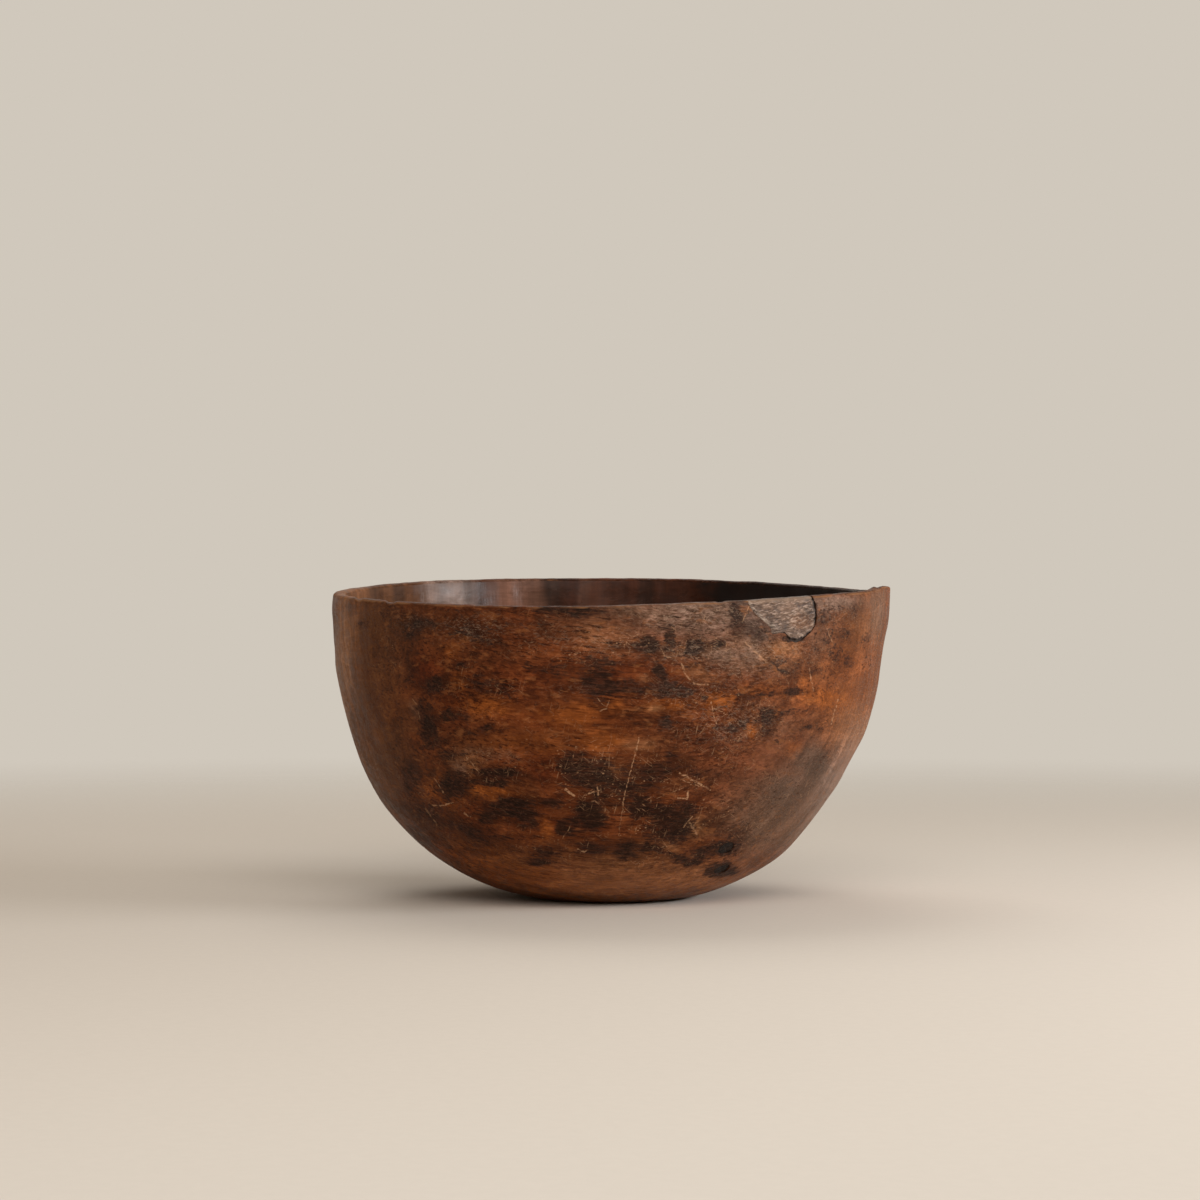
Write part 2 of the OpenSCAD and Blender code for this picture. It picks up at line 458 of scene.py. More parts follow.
def rowAngles(inner, step, coarse):
    w = bowlWall
    half = w["mouthWide"] / 2 - (w["rimThick"] if inner else 0.0)
    f = np.linspace(0.0, 90.0, 9001)
    r = half * np.clip(cosDeg(f), 0.0, 1.0) ** (2 / w["fullAcross"])
    z = wallDepth(inner) * np.clip(sinDeg(f), 0.0, 1.0) ** (2 / w["fullUp"])
    run = np.concatenate([[0.0], np.cumsum(np.hypot(np.diff(r), np.diff(z)))])
    stops = [float(np.interp(w["rimWear"], z, run))]
    while stops[-1] < run[-1] - bowlBody["middleGap"]:
        wider = ease((stops[-1] - bowlBody["coarseFrom"]) / bowlBody["coarseRun"])
        stops.append(stops[-1] + step * (1 + coarse * float(wider)))
    return np.interp(stops[:-1], run, f)


# slides the grid over the wall so that a block of it ends on the notch's outline
def openNotch(headings, angles, inner, first, last):
    n = bowlBody["notchRows"]
    r = rimPatch
    across, up = patchPlane(wallPoint(headings, angles, inner))
    left, bottom, right = patchSides(1)
    rows = np.concatenate([np.arange(n + 1), np.full(last - first - 1, n), np.arange(n, -1, -1)])
    cols = np.concatenate([np.full(n + 1, first), np.arange(first + 1, last), np.full(n + 1, last)])
    sides = np.linspace(0.0, 1.0, n + 1)
    floor = np.linspace(0.0, 1.0, last - first + 1)[1:-1]
    target = np.concatenate([along(left, sides), along(bottom, floor), along(right, sides[::-1])])
    start = np.stack([across[rows, cols], up[rows, cols]], -1)
    near = (np.abs(turnFrom(headings, r["heading"])) < r["slideTurn"]) & (up > -r["slideDrop"])
    rowOf = np.broadcast_to(np.arange(headings.shape[0])[:, None], headings.shape)[near]
    q = np.stack([across[near], up[near]], -1)
    gap = ((q[:, None] - start[None]) ** 2).sum(-1) + 1e-3
    weight = gap ** -r["slidePower"]
    shift = weight @ (target - start) / weight.sum(1)[:, None]
    shift = shift * ease(1.0 - np.sqrt(gap.min(1)) / r["slideReach"])[:, None]
    shift[:, 1] *= ease(rowOf / r["slideRows"])
    turned, dropped = placeOnWall(q[:, 0] + shift[:, 0], q[:, 1] + shift[:, 1], inner)
    rim = rowOf == 0
    dropped[rim] = angles[near][rim]
    headings[near] = turned
    angles[near] = dropped
    turned, dropped = placeOnWall(target[:, 0], target[:, 1], inner)
    headings[rows, cols] = turned
    angles[rows[1:-1], cols[1:-1]] = dropped[1:-1]


# the rounded edge between the outside's top row and the inside's top row
def rimEdge(outer, inner, rows):
    sweep = 180.0 * (np.arange(rows) + 1) / (rows + 1)
    side = np.sign(cosDeg(sweep)) * np.abs(cosDeg(sweep)) ** bowlBody["edgeSquare"]
    high = sinDeg(sweep) ** bowlBody["edgeSquare"] * bowlWall["rimWear"]
    middle = (outer + inner) / 2
    half = (outer - inner) / 2
    edge = middle[None] + half[None] * side[:, None, None]
    edge[..., 2] += high[:, None]
    return edge


def surfaceNormals(rings, closed):
    if closed:
        around = np.roll(rings, -1, axis=1) - np.roll(rings, 1, axis=1)
    else:
        around = np.gradient(rings, axis=1)
    n = np.cross(around, np.gradient(rings, axis=0))
    return n / np.maximum(np.linalg.norm(n, axis=-1, keepdims=True), 1e-9)


# hand tool marks and wear on the skin, in millimetres along its normals; within is 0 outside and 1 inside
def skinRelief(p, within):
    b = bowlBody
    deep = np.zeros(p.shape[:-1])
    for name, seed, share in (("outerStroke", 11, 1 - within), ("innerStroke", 23, within)):
        on = share > 0.0
        strokes = strokeCells(p[on] / np.array(b[name]), seed) ** 2 - b["strokeLevel"]
        deep[on] += b[name + "Deep"] * strokes * share[on]
    below = np.maximum(bowlWall["rimHeight"] - p[..., 2], 0.0)
    deep = deep * (b["rimCalm"] + (1 - b["rimCalm"]) * ease(below / b["rimCalmRun"]))
    deep = deep + b["softWaver"] * layeredNoise(p / b["softCell"], 31, 2) * (1 - 0.6 * within)
    # the wall thins towards the rim on the inside, at the left of the back
    heading = np.degrees(np.arctan2(p[..., 1], p[..., 0]))
    flare = b["innerFlare"] * ease(1.6 - np.abs(turnFrom(heading, b["innerFlareAt"])) / b["innerFlareHalf"])
    flare = flare * ease((p[..., 2] - b["innerFlareFrom"]) / b["innerFlareRise"])
    deep = deep + within * flare * (1 - np.exp(-below / b["innerFlareRun"]))
    for sign, name in ((1, "swells"), (-1, "hollows")):
        for at, half, high, tall, size in b[name]:
            near = np.exp(-(turnFrom(heading, at) / half) ** 2 - ((p[..., 2] - high) / tall) ** 2)
            deep = deep + sign * size * near * (1 - within)
    return deep + b["fineWaver"] * layeredNoise(p / np.array(b["fineCell"]), 37, 3) * (1 - 0.8 * within)


# raggedness of the rim and its chips, in millimetres of height
def rimRagged(p):
    b = bowlBody
    top = ease((p[..., 2] - bowlWall["rimHeight"] + b["raggedFrom"]) / b["raggedRun"])
    low = b["rimRagged"] * layeredNoise(p * np.array([1, 1, 0.0]) / b["raggedCell"] + 0.5, 53, 3)
    x = photoPixel(leanBowl(p))[0]
    front = p[..., 1] < 0
    heading = np.degrees(np.arctan2(p[..., 1], p[..., 0]))
    for at, half, rise in b["rimSway"]:
        low = low + rise * np.exp(-(turnFrom(heading, at) / half) ** 2)
    for at, half, deep in b["chips"]:
        low = low - front * deep * ease(1.4 - np.abs(x - at) / half)
    return top * low


def dressSkin(p, normals, within):
    p = p + normals * skinRelief(p, within)[..., None]
    p[..., 2] += rimRagged(p)
    return p


# leans the piece and wears its foot flat
def seatPoints(p):
    q = leanBowl(p)
    q[..., 2] = 0.5 * (q[..., 2] + np.sqrt(q[..., 2] ** 2 + bowlWall["footRound"]))
    return q


def knotPlace(knot):
    share = (bowlWall["rimHeight"] - knot["height"]) / wallDepth(False)
    angle = float(np.degrees(np.arcsin(share ** (bowlWall["fullUp"] / 2))))

    def spotAt(turn, drop):
        return wallPoint(np.array(knot["heading"] + turn), np.array(angle + drop), False)

    across = spotAt(1, 0) - spotAt(-1, 0)
    out = np.cross(across, spotAt(0, -1) - spotAt(0, 1))
    return spotAt(0, 0), across / np.linalg.norm(across), out / np.linalg.norm(out)


# sinks the sockets of the two knots into the outside
def openSockets(p, within):
    k = deadKnots
    for name in ("upper", "lower"):
        spot, across, out = knotPlace(k[name])
        off = p - spot
        high = off @ out
        flat = off - high[..., None] * out
        away = np.linalg.norm(flat, axis=-1)
        near = (np.abs(high) < k["nearHigh"]) & (away < k["nearAcross"]) & (within < 0.5)
        edge = near & (np.abs(away - k["wide"] / 2) < k["snap"])
        grow = np.where(edge, (k["wide"] / 2) / np.maximum(away, 1e-6), 1.0) - 1.0
        p += flat * grow[..., None]
        sunk = near & (away < k["wide"] / 2 - k["shy"])
        p -= (sunk * k["socketDeep"])[..., None] * out
    return p


print("wall rule ready")

cols = bowlBody["columns"]
firstHeading = bowlBody["firstHeading"]
heads = firstHeading + 360.0 * np.arange(cols) / cols
outAngles = rowAngles(False, bowlBody["outerStep"], 0.0)
inAngles = rowAngles(True, bowlBody["innerStep"], bowlBody["innerCoarse"])
outHead, outAngle = [v.copy() for v in np.meshgrid(heads, outAngles)]
inHead, inAngle = [v.copy() for v in np.meshgrid(heads, inAngles)]
notchFirst = int(round((rimPatch["heading"] - rimPatch["turnLeft"] - firstHeading) / 360.0 * cols))
notchLast = int(round((rimPatch["heading"] + rimPatch["turnRight"] - firstHeading) / 360.0 * cols))
openNotch(outHead, outAngle, False, notchFirst, notchLast)
openNotch(inHead, inAngle, True, notchFirst, notchLast)
outer = wallPoint(outHead, outAngle, False)
inner = wallPoint(inHead, inAngle, True)
rings = np.concatenate([outer[::-1], rimEdge(outer[0], inner[0], bowlBody["rimRows"]), inner])
rimRing = len(outAngles) - 1
ringCount = len(rings)
innerRing = rimRing + 1 + bowlBody["rimRows"]
within = ease((np.arange(ringCount) - rimRing) / (bowlBody["rimRows"] + 1.0))[:, None] * np.ones((1, cols))
normals = surfaceNormals(rings, True)
skin = dressSkin(rings, normals, within)
skin = openSockets(skin, within)
skin = seatPoints(skin)
print("bowl skin:", ringCount, "rows by", cols, "columns")

# faces of the skin, without the notch's block
k, i = np.meshgrid(np.arange(ringCount - 1), np.arange(cols), indexing="ij")
blockLow = rimRing - bowlBody["notchRows"]
blockHigh = innerRing + bowlBody["notchRows"]
keep = ~((k >= blockLow) & (k < blockHigh) & (i >= notchFirst) & (i < notchLast))
k, i = k[keep], i[keep]
j = (i + 1) % cols
skinQuads = np.stack([k * cols + i, k * cols + j, (k + 1) * cols + j, (k + 1) * cols + i], -1)

# the bake map: heading across, the outside in the upper part, the inside below it
bakeMap = {
    "under": 0.985,
    "rimOut": 0.41,
    "rimIn": 0.385,
    "floor": 0.012,
    "middle": 0.002,
}
ringV = np.empty(ringCount)
ringV[:rimRing + 1] = np.linspace(bakeMap["under"], bakeMap["rimOut"], rimRing + 1)
ringV[rimRing:innerRing + 1] = np.linspace(bakeMap["rimOut"], bakeMap["rimIn"], bowlBody["rimRows"] + 2)
ringV[innerRing:] = np.linspace(bakeMap["rimIn"], bakeMap["floor"], ringCount - innerRing)
u0, u1 = i / cols, (i + 1) / cols
v0, v1 = ringV[k], ringV[k + 1]
skinUV = cornerUV(u0, v0, u1, v1)

# the notch's floor and its two cheeks
c = np.arange(notchFirst, notchLast)
low, high = blockLow * cols + c, blockHigh * cols + c
floorQuads = np.stack([low, low + 1, high + 1, high], -1)
m = np.arange((blockHigh - blockLow - 1) // 2)
cheek = np.stack([blockLow + m, blockHigh - m, blockHigh - m - 1, blockLow + m + 1], -1)
notchQuads = np.concatenate([floorQuads, cheek * cols + notchFirst, (cheek * cols + notchLast)[:, ::-1]])
notchUV = np.clip(spareUV(len(notchQuads), 200, 200, 0.0, 0.988, 0.006), 0.0, 1.0)

# the two middles
allPoints = np.concatenate([skin.reshape(-1, 3), [skin[0].mean(0)], [skin[-1].mean(0)]])
c = np.arange(cols)
n = (c + 1) % cols
under = np.stack([np.full(cols, ringCount * cols), n, c], -1)
last = (ringCount - 1) * cols
above = np.stack([last + c, last + n, np.full(cols, ringCount * cols + 1)], -1)


def rowUV(share, v):
    return np.stack([(c + share) / cols, np.full(cols, v)], -1)


v = bakeMap["under"]
fan = np.stack([rowUV(0.5, v + bakeMap["middle"]), rowUV(1, v), rowUV(0, v)], 1)
v = bakeMap["floor"]
fanIn = np.stack([rowUV(0, v), rowUV(1, v), rowUV(0.5, v - bakeMap["middle"])], 1)
quads = np.concatenate([skinQuads, notchQuads])
tris = np.concatenate([under, above])
bowl = makePiece("bowl_body_skin", allPoints, quads, tris,
                 np.concatenate([skinUV, notchUV]), np.concatenate([fan, fanIn]))
print("bowl mesh:", len(bowl.data.polygons), "faces")

# finishes of the old wood, as they look in plain light; loamBounce and some dabs below also stand for painted
# light
woodTones = {
    "rust": (116, 57, 26),
    "amber": (160, 88, 36),
    "pale": (190, 134, 90),
    "oxblood": (88, 37, 15),
    "umber": (78, 41, 21),
    "mauve": (138, 111, 96),
    "ash": (112, 84, 66),
    "slate": (98, 77, 64),
    "lead": (80, 62, 53),
    "tan": (150, 101, 66),
    "sienna": (124, 68, 33),
    "olive": (106, 66, 36),
    "loamBounce": (154, 99, 62),
}

# broad colour of the front, as places in the photograph: x, y, half width, half height, tilt, tone, strength;
# some dabs are painted light, as said above them
toneDabs = [
    (368, 710, 46, 170, 0, "olive", 0.85), (600, 690, 190, 60, 0, "rust", 0.5),
    (440, 690, 64, 66, 0, "umber", 0.3), (852, 700, 52, 130, 12, "sienna", 0.8),
    # (640, 880) loamBounce: the paler band along the foot, partly painted light thrown up from the floor
    (792, 795, 50, 66, -38, "ash", 0.85), (640, 880, 130, 19, 0, "loamBounce", 1.0),
    (612, 800, 90, 36, 0, "sienna", 0.25), (455, 800, 70, 50, 25, "umber", 0.5),
    # (700, 616) mauve, (705, 650) ash and the other mauve and ash dabs of the upper right: greyed wood,
    # partly a painted sheen
    (606, 636, 34, 18, 0, "tan", 0.35), (700, 616, 62, 22, 0, "mauve", 0.8),
    (705, 650, 60, 12, 0, "ash", 0.45), (754, 627, 17, 17, 25, "lead", 0.95),
    (480, 705, 30, 8, 6, "amber", 0.75), (573, 716, 30, 11, 0, "amber", 0.65),
    (520, 745, 52, 12, 0, "amber", 0.3), (442, 648, 30, 12, 6, "rust", 0.4),
    (606, 740, 22, 10, 0, "amber", 0.6), (666, 706, 22, 7, 0, "amber", 0.5),
    (822, 699, 26, 8, 5, "amber", 0.75), (798, 742, 12, 9, 0, "rust", 0.5),
    (738, 662, 44, 12, 8, "ash", 0.5), (505, 870, 56, 13, 12, "amber", 0.6),
    (482, 793, 18, 6, 10, "amber", 0.6), (445, 795, 18, 10, 30, "amber", 0.4),
    (600, 832, 30, 9, 0, "rust", 0.7), (548, 828, 16, 10, 0, "rust", 0.7),
    (468, 762, 14, 10, 20, "tan", 0.55), (785, 650, 14, 9, 20, "tan", 0.55),
    (762, 655, 24, 6, 35, "tan", 0.45), (690, 828, 8, 9, 0, "tan", 0.7),
    (672, 845, 10, 6, 0, "tan", 0.7), (705, 845, 26, 8, 0, "sienna", 0.5),
    (720, 700, 15, 7, 0, "amber", 0.8), (760, 760, 44, 22, 0, "rust", 0.5),
    (690, 722, 60, 16, 0, "umber", 0.35), (640, 672, 16, 9, 0, "rust", 0.6),
    (430, 664, 16, 12, 0, "rust", 0.5), (672, 666, 26, 7, 5, "rust", 0.55),
    (545, 655, 26, 6, 0, "sienna", 0.3), (862, 618, 22, 34, 0, "olive", 0.45),
    # (840, 770) mauve: a pale strip along the lower right edge, partly a painted sheen
    (640, 612, 26, 7, 0, "ash", 0.5), (840, 770, 14, 50, 28, "mauve", 0.6),
    # (343, 655) tan: a painted sheen along the left edge
    (343, 655, 9, 90, 2, "tan", 0.9), (600, 860, 90, 8, 0, "tan", 0.35),
    (440, 610, 70, 9, 0, "umber", 0.35), (878, 612, 8, 26, 2, "ash", 0.6),
    (834, 603, 24, 8, 0, "mauve", 0.8), (820, 630, 14, 18, 0, "ash", 0.5),
    (857, 610, 6, 8, 0, "umber", 0.65), (826, 621, 6, 6, 20, "umber", 0.6),
    (850, 730, 20, 26, 20, "tan", 0.4), (815, 605, 5, 5, 0, "mauve", 0.9),
    (470, 635, 70, 26, 0, "umber", 0.55), (424, 672, 13, 14, 0, "oxblood", 0.8),
    (450, 700, 14, 10, 0, "oxblood", 0.6), (545, 770, 12, 12, 0, "oxblood", 0.6),
    (620, 668, 14, 9, 0, "rust", 0.7), (470, 815, 10, 8, 0, "rust", 0.7),
    (418, 711, 5, 8, -10, "ash", 0.4), (459, 768, 6, 7, -20, "mauve", 0.4),
    (470, 750, 12, 4, 5, "ash", 0.3), (500, 756, 18, 4, 4, "ash", 0.25),
    (433, 790, 7, 10, 10, "amber", 0.7), (495, 791, 20, 5, 6, "amber", 0.8),
    (545, 828, 9, 8, 0, "amber", 0.8), (460, 682, 6, 8, 0, "amber", 0.6),
    (449, 650, 8, 6, 0, "amber", 0.35), (615, 706, 9, 6, 0, "amber", 0.6),
    (655, 708, 7, 3, 0, "pale", 0.7), (674, 705, 10, 7, 0, "amber", 0.8),
    (648, 680, 6, 4, 0, "tan", 0.5), (716, 701, 8, 5, 0, "amber", 0.9),
    (752, 730, 4, 9, 0, "amber", 0.7), (804, 678, 5, 10, 0, "amber", 0.4),
    (783, 648, 10, 8, 20, "tan", 0.3), (694, 829, 5, 8, -15, "pale", 0.7),
    (672, 845, 9, 5, 0, "tan", 0.8), (795, 748, 8, 6, 0, "amber", 0.45),
    (815, 765, 15, 20, -15, "slate", 0.85), (785, 790, 24, 18, -25, "slate", 0.7),
    (762, 836, 26, 18, -30, "ash", 0.7), (740, 815, 16, 10, 0, "ash", 0.4),
    (755, 690, 26, 5, -3, "sienna", 0.8), (700, 672, 16, 6, 18, "tan", 0.5),
    (726, 655, 14, 6, 0, "mauve", 0.4), (744, 607, 9, 9, 0, "lead", 0.9),
    (764, 637, 12, 6, 20, "lead", 0.8), (753, 652, 9, 7, 40, "mauve", 0.7),
    (600, 812, 8, 4, 0, "tan", 0.5), (560, 846, 90, 15, 0, "sienna", 0.4),
    (640, 745, 14, 7, 0, "tan", 0.45), (612, 772, 8, 8, 0, "tan", 0.5),
]

# dark stains of the front, and at the end two dabs that darken the lower left edge, the same way: x, y, half
# width, half height, tilt, strength
stainDabs = [
    (362, 625, 8, 5, 0, 0.45), (350, 607, 8, 4, 0, 0.4), (366, 668, 6, 14, 0, 0.25),
    (370, 710, 6, 26, 8, 0.25), (392, 650, 8, 34, 0, 0.3), (397, 728, 9, 30, 6, 0.4),
    (386, 612, 14, 8, 0, 0.35), (420, 625, 20, 8, 0, 0.75), (408, 636, 9, 6, 0, 0.5),
    (470, 612, 34, 3, 3, 0.3), (468, 630, 20, 8, 8, 0.6), (480, 640, 22, 3, 10, 0.5),
    (515, 626, 24, 7, 0, 0.4), (545, 640, 20, 4, 0, 0.3), (562, 610, 36, 5, 0, 0.8),
    (585, 613, 16, 5, 0, 0.6), (412, 652, 8, 7, 0, 0.45), (460, 663, 10, 5, 0, 0.65),
    (434, 686, 13, 9, -20, 0.85), (410, 676, 10, 14, 0, 0.35), (425, 706, 8, 6, 0, 0.6),
    (488, 683, 30, 4, 12, 0.55), (496, 692, 30, 3, 8, 0.5), (482, 674, 22, 3, 14, 0.4),
    (452, 718, 18, 5, 0, 0.6), (468, 733, 14, 5, 0, 0.5), (428, 728, 11, 13, 0, 0.95),
    (442, 742, 9, 6, 0, 0.5), (553, 671, 16, 8, 0, 0.5), (598, 664, 24, 11, 0, 0.62),
    (600, 684, 26, 12, 0, 0.68), (604, 704, 9, 5, 0, 0.5), (624, 688, 16, 7, 0, 0.45),
    (520, 700, 20, 3, 6, 0.3), (530, 668, 10, 5, 0, 0.35), (560, 735, 30, 5, 0, 0.2),
    (647, 645, 12, 8, 8, 1.0), (620, 645, 20, 6, 0, 0.45), (670, 641, 5, 12, 0, 0.85),
    (697, 648, 10, 9, 0, 0.95), (720, 643, 6, 5, 0, 1.0), (655, 624, 26, 4, 0, 0.4),
    (690, 628, 18, 6, 0, 0.35), (737, 612, 5, 9, 0, 0.55), (757, 630, 13, 12, 20, 0.4),
    (738, 622, 5, 15, 8, 0.65), (728, 626, 10, 6, 0, 0.4), (660, 672, 6, 10, 0, 0.85),
    (662, 688, 22, 7, 0, 0.65), (680, 690, 18, 8, 0, 0.65), (690, 668, 12, 3, 20, 0.4),
    (707, 699, 5, 4, 0, 0.75), (737, 697, 8, 4, 0, 0.75), (766, 695, 36, 3, -3, 0.6),
    (793, 690, 9, 5, 0, 0.95), (783, 672, 6, 2, 0, 0.8), (775, 664, 10, 6, 0, 0.5),
    (796, 664, 9, 5, 0, 0.4), (728, 684, 14, 8, 0, 0.4), (665, 725, 7, 6, 0, 0.65),
    (768, 718, 10, 6, -15, 0.5), (792, 712, 14, 4, -8, 0.45), (742, 724, 18, 6, 0, 0.4),
    (808, 727, 4, 3, 0, 0.9), (775, 740, 14, 7, 0, 0.4), (720, 740, 26, 7, 0, 0.35),
    (830, 638, 11, 10, 0, 0.5), (866, 640, 7, 7, 0, 0.5), (856, 609, 7, 10, 0, 0.42),
    (840, 608, 9, 8, 0, 0.42), (824, 620, 5, 7, 20, 0.5), (850, 662, 6, 9, 0, 0.5),
    (835, 655, 7, 9, 0, 0.45), (868, 660, 4, 13, 0, 0.4), (845, 636, 6, 6, 0, 0.45),
    (858, 690, 3, 16, 4, 0.25), (841, 690, 3, 18, 6, 0.2), (828, 612, 5, 5, 0, 0.35),
    (816, 650, 6, 5, 0, 0.4), (806, 655, 7, 5, 0, 0.35), (812, 673, 18, 3, 0, 0.4),
    (452, 757, 12, 6, 0, 0.65), (432, 748, 10, 5, 0, 0.5), (455, 785, 20, 13, 0, 0.85),
    (500, 772, 24, 5, 3, 0.9), (495, 783, 18, 5, 0, 0.8), (410, 776, 11, 20, 6, 0.65),
    (515, 803, 28, 7, 3, 0.9), (512, 814, 26, 6, 4, 0.85), (490, 818, 10, 6, 0, 0.7),
    (430, 812, 24, 6, 20, 0.5), (585, 762, 26, 10, 0, 0.7), (592, 778, 26, 11, 0, 0.75),
    (570, 770, 10, 14, 0, 0.6), (550, 803, 7, 4, 0, 0.75), (590, 816, 17, 16, 0, 1.0),
    (526, 825, 12, 7, 0, 0.7), (565, 828, 9, 8, 0, 0.8), (470, 834, 24, 5, 28, 0.65),
    (500, 838, 16, 4, 10, 0.5), (548, 850, 14, 6, 0, 0.65), (537, 862, 12, 5, 0, 0.8),
    (592, 847, 18, 7, 0, 0.75), (612, 786, 22, 14, 0, 0.65), (670, 757, 10, 6, 0, 0.65),
    (655, 773, 24, 9, 0, 0.7), (640, 790, 20, 8, 0, 0.5), (640, 808, 16, 10, 0, 1.0),
    (658, 814, 12, 9, 0, 0.9), (686, 808, 16, 9, 0, 0.75), (676, 828, 18, 14, 0, 1.0),
    (650, 832, 9, 9, 0, 0.55), (627, 850, 14, 9, 0, 0.85), (652, 850, 12, 6, 0, 0.7),
    (702, 853, 10, 6, 0, 0.75), (690, 863, 14, 5, 0, 0.8), (675, 856, 12, 4, 8, 0.6),
    (742, 828, 14, 9, 0, 0.35), (735, 840, 10, 6, 0, 0.35), (820, 756, 14, 10, 0, 0.25),
    (790, 775, 34, 22, -20, 0.25), (770, 800, 20, 14, 0, 0.3), (560, 800, 10, 8, 0, 0.4),
    (700, 770, 26, 6, 8, 0.4), (815, 612, 4, 12, 0, 0.8), (812, 600, 3, 5, 0, 0.6),
    (809, 628, 6, 4, -45, 0.7), (797, 640, 9, 3, 0, 0.8), (787, 636, 5, 4, 0, 0.7),
    (606, 676, 7, 4, 0, 0.8), (447, 712, 6, 5, 0, 0.8), (490, 726, 7, 4, 0, 0.7),
    (660, 668, 4, 8, 0, 0.9), (692, 650, 7, 7, 0, 0.7), (662, 722, 7, 6, 0, 0.6),
    (772, 715, 9, 7, -20, 0.7), (730, 728, 15, 5, 0, 0.55), (765, 730, 5, 4, 0, 0.6),
    (820, 730, 4, 4, 0, 0.5), (690, 706, 6, 4, 0, 0.5), (642, 692, 12, 4, 0, 0.45),
    # (420, 835) and (470, 872): darker along the lower left edge
    (726, 849, 14, 7, -6, 1.0), (722, 870, 15, 7, -12, 1.0), (420, 835, 22, 26, 40, 0.35),
    (470, 872, 26, 10, 28, 0.4),
]


def dabShare(x, y, dab):
    c, s = cosDeg(dab[4]), sinDeg(dab[4])
    u = ((x - dab[0]) * c + (y - dab[1]) * s) / dab[2]
    v = ((y - dab[1]) * c - (x - dab[0]) * s) / dab[3]
    return np.sqrt(u * u + v * v)


# pale scratches of the front, as lines through places in the photograph: points, half width, strength
scratchLines = [
    ([(639, 738), (631, 768), (626, 790), (623, 804)], 0.9, 0.75),
    ([(623, 804), (619, 836)], 0.8, 0.4),
    ([(680, 774), (694, 781), (711, 790)], 1.5, 0.8),
    ([(683, 780), (701, 787)], 0.9, 0.5),
    ([(679, 798), (687, 799), (689, 792)], 1.5, 1.0),
    ([(565, 789), (570, 793), (574, 796)], 2.2, 1.0),
    ([(585, 794), (598, 791)], 1.5, 0.95),
    ([(598, 787), (598, 795)], 1.0, 0.7),
    ([(432, 805), (441, 806), (453, 803)], 1.3, 0.65),
    ([(435, 778), (444, 793)], 0.9, 0.6),
    ([(425, 808), (437, 825)], 1.3, 0.4),
    ([(464, 813), (471, 817)], 1.1, 0.65),
    ([(571, 825), (563, 838)], 0.8, 0.6),
    ([(577, 849), (584, 852), (588, 849)], 1.2, 0.65),
    ([(692, 816), (684, 827)], 0.9, 0.65),
    ([(690, 822), (697, 835)], 1.8, 0.5),
    ([(711, 702), (714, 712), (717, 723)], 1.1, 0.65),
    ([(714, 708), (723, 712)], 0.8, 0.45),
    ([(596, 698), (602, 704), (607, 706)], 0.8, 0.55),
    ([(608, 700), (607, 708), (601, 711)], 0.8, 0.55),
    ([(661, 648), (665, 657), (671, 658)], 0.9, 0.5),
    ([(681, 664), (686, 676), (695, 684), (709, 685)], 1.3, 0.5),
    ([(809, 667), (813, 690)], 1.0, 0.5),
    ([(838, 700), (831, 724)], 1.2, 0.5),
    ([(745, 643), (757, 653), (767, 662)], 1.4, 0.45),
    ([(699, 736), (708, 722)], 0.7, 0.45),
    ([(466, 757), (478, 773)], 1.0, 0.45),
    ([(505, 760), (515, 768)], 0.8, 0.45),
    ([(413, 698), (418, 706), (420, 720)], 1.0, 0.3),
    ([(752, 600), (747, 610), (743, 621)], 0.9, 0.5),
    ([(750, 604), (747, 611), (745, 617)], 0.8, 0.35),
    ([(826, 626), (829, 634), (832, 641)], 0.8, 0.4),
]

# where pale nicks and painted glints lie thickest: x, y, half width, half height, strength
nickGlintPlaces = [
    (660, 800, 110, 55, 1.0), (590, 770, 60, 40, 0.9), (720, 715, 60, 40, 0.9),
    (600, 645, 90, 18, 0.9), (690, 640, 60, 30, 0.8), (490, 770, 50, 30, 0.6),
    (640, 850, 90, 18, 0.9), (780, 800, 40, 40, 0.5), (480, 640, 40, 10, 0.5),
]

# where the wood is greyed, with a painted sheen and painted glints of fibres that stand up
greyedSheenPlaces = [
    (690, 614, 62, 15, 1.0), (762, 652, 26, 14, 1.0), (700, 650, 50, 16, 0.8),
    (738, 668, 40, 14, 0.7), (600, 640, 60, 16, 0.6), (832, 612, 26, 18, 0.5), (494, 755, 30, 7, 0.5),
    (725, 722, 45, 18, 0.7), (600, 770, 36, 22, 0.2), (760, 820, 40, 26, 0.2),
    (475, 628, 36, 14, 0.7), (545, 636, 24, 14, 0.5), (755, 630, 18, 18, 0.5),
    (800, 650, 22, 14, 0.5), (412, 622, 20, 12, 0.4), (690, 690, 40, 12, 0.5),
    (570, 690, 26, 8, 0.35),
]

# where thin dark lines run along the fibre
linedPlaces = [
    (496, 682, 44, 17, 1.0), (512, 640, 46, 9, 0.6), (505, 776, 26, 10, 0.8), (515, 806, 34, 12, 0.8),
    (590, 818, 20, 16, 0.7), (690, 618, 60, 10, 0.6), (680, 690, 30, 12, 0.5), (760, 692, 40, 6, 0.7),
    (560, 612, 40, 5, 0.8), (640, 650, 26, 8, 0.5),
]

# where the wood is smooth and its figure faint
smoothPlaces = [
    (792, 795, 46, 60, 1.0), (640, 884, 120, 11, 0.7), (575, 716, 22, 9, 0.7), (606, 740, 18, 8, 0.6),
    (368, 720, 36, 120, 0.5), (520, 735, 40, 12, 0.5),
]


# unseen side: dabs of the same kinds, scattered by a fixed seed over the unrolled wall
unseenSide = {
    "middle": 611,
    "reach": 520,
    "top": 600,
    "foot": 890,
    "pixel": 0.63,
    "kinds": ("rust", "amber", "umber", "tan", "sienna", "olive", "ash"),
    "toneCount": 84,
    "stainCount": 210,
}


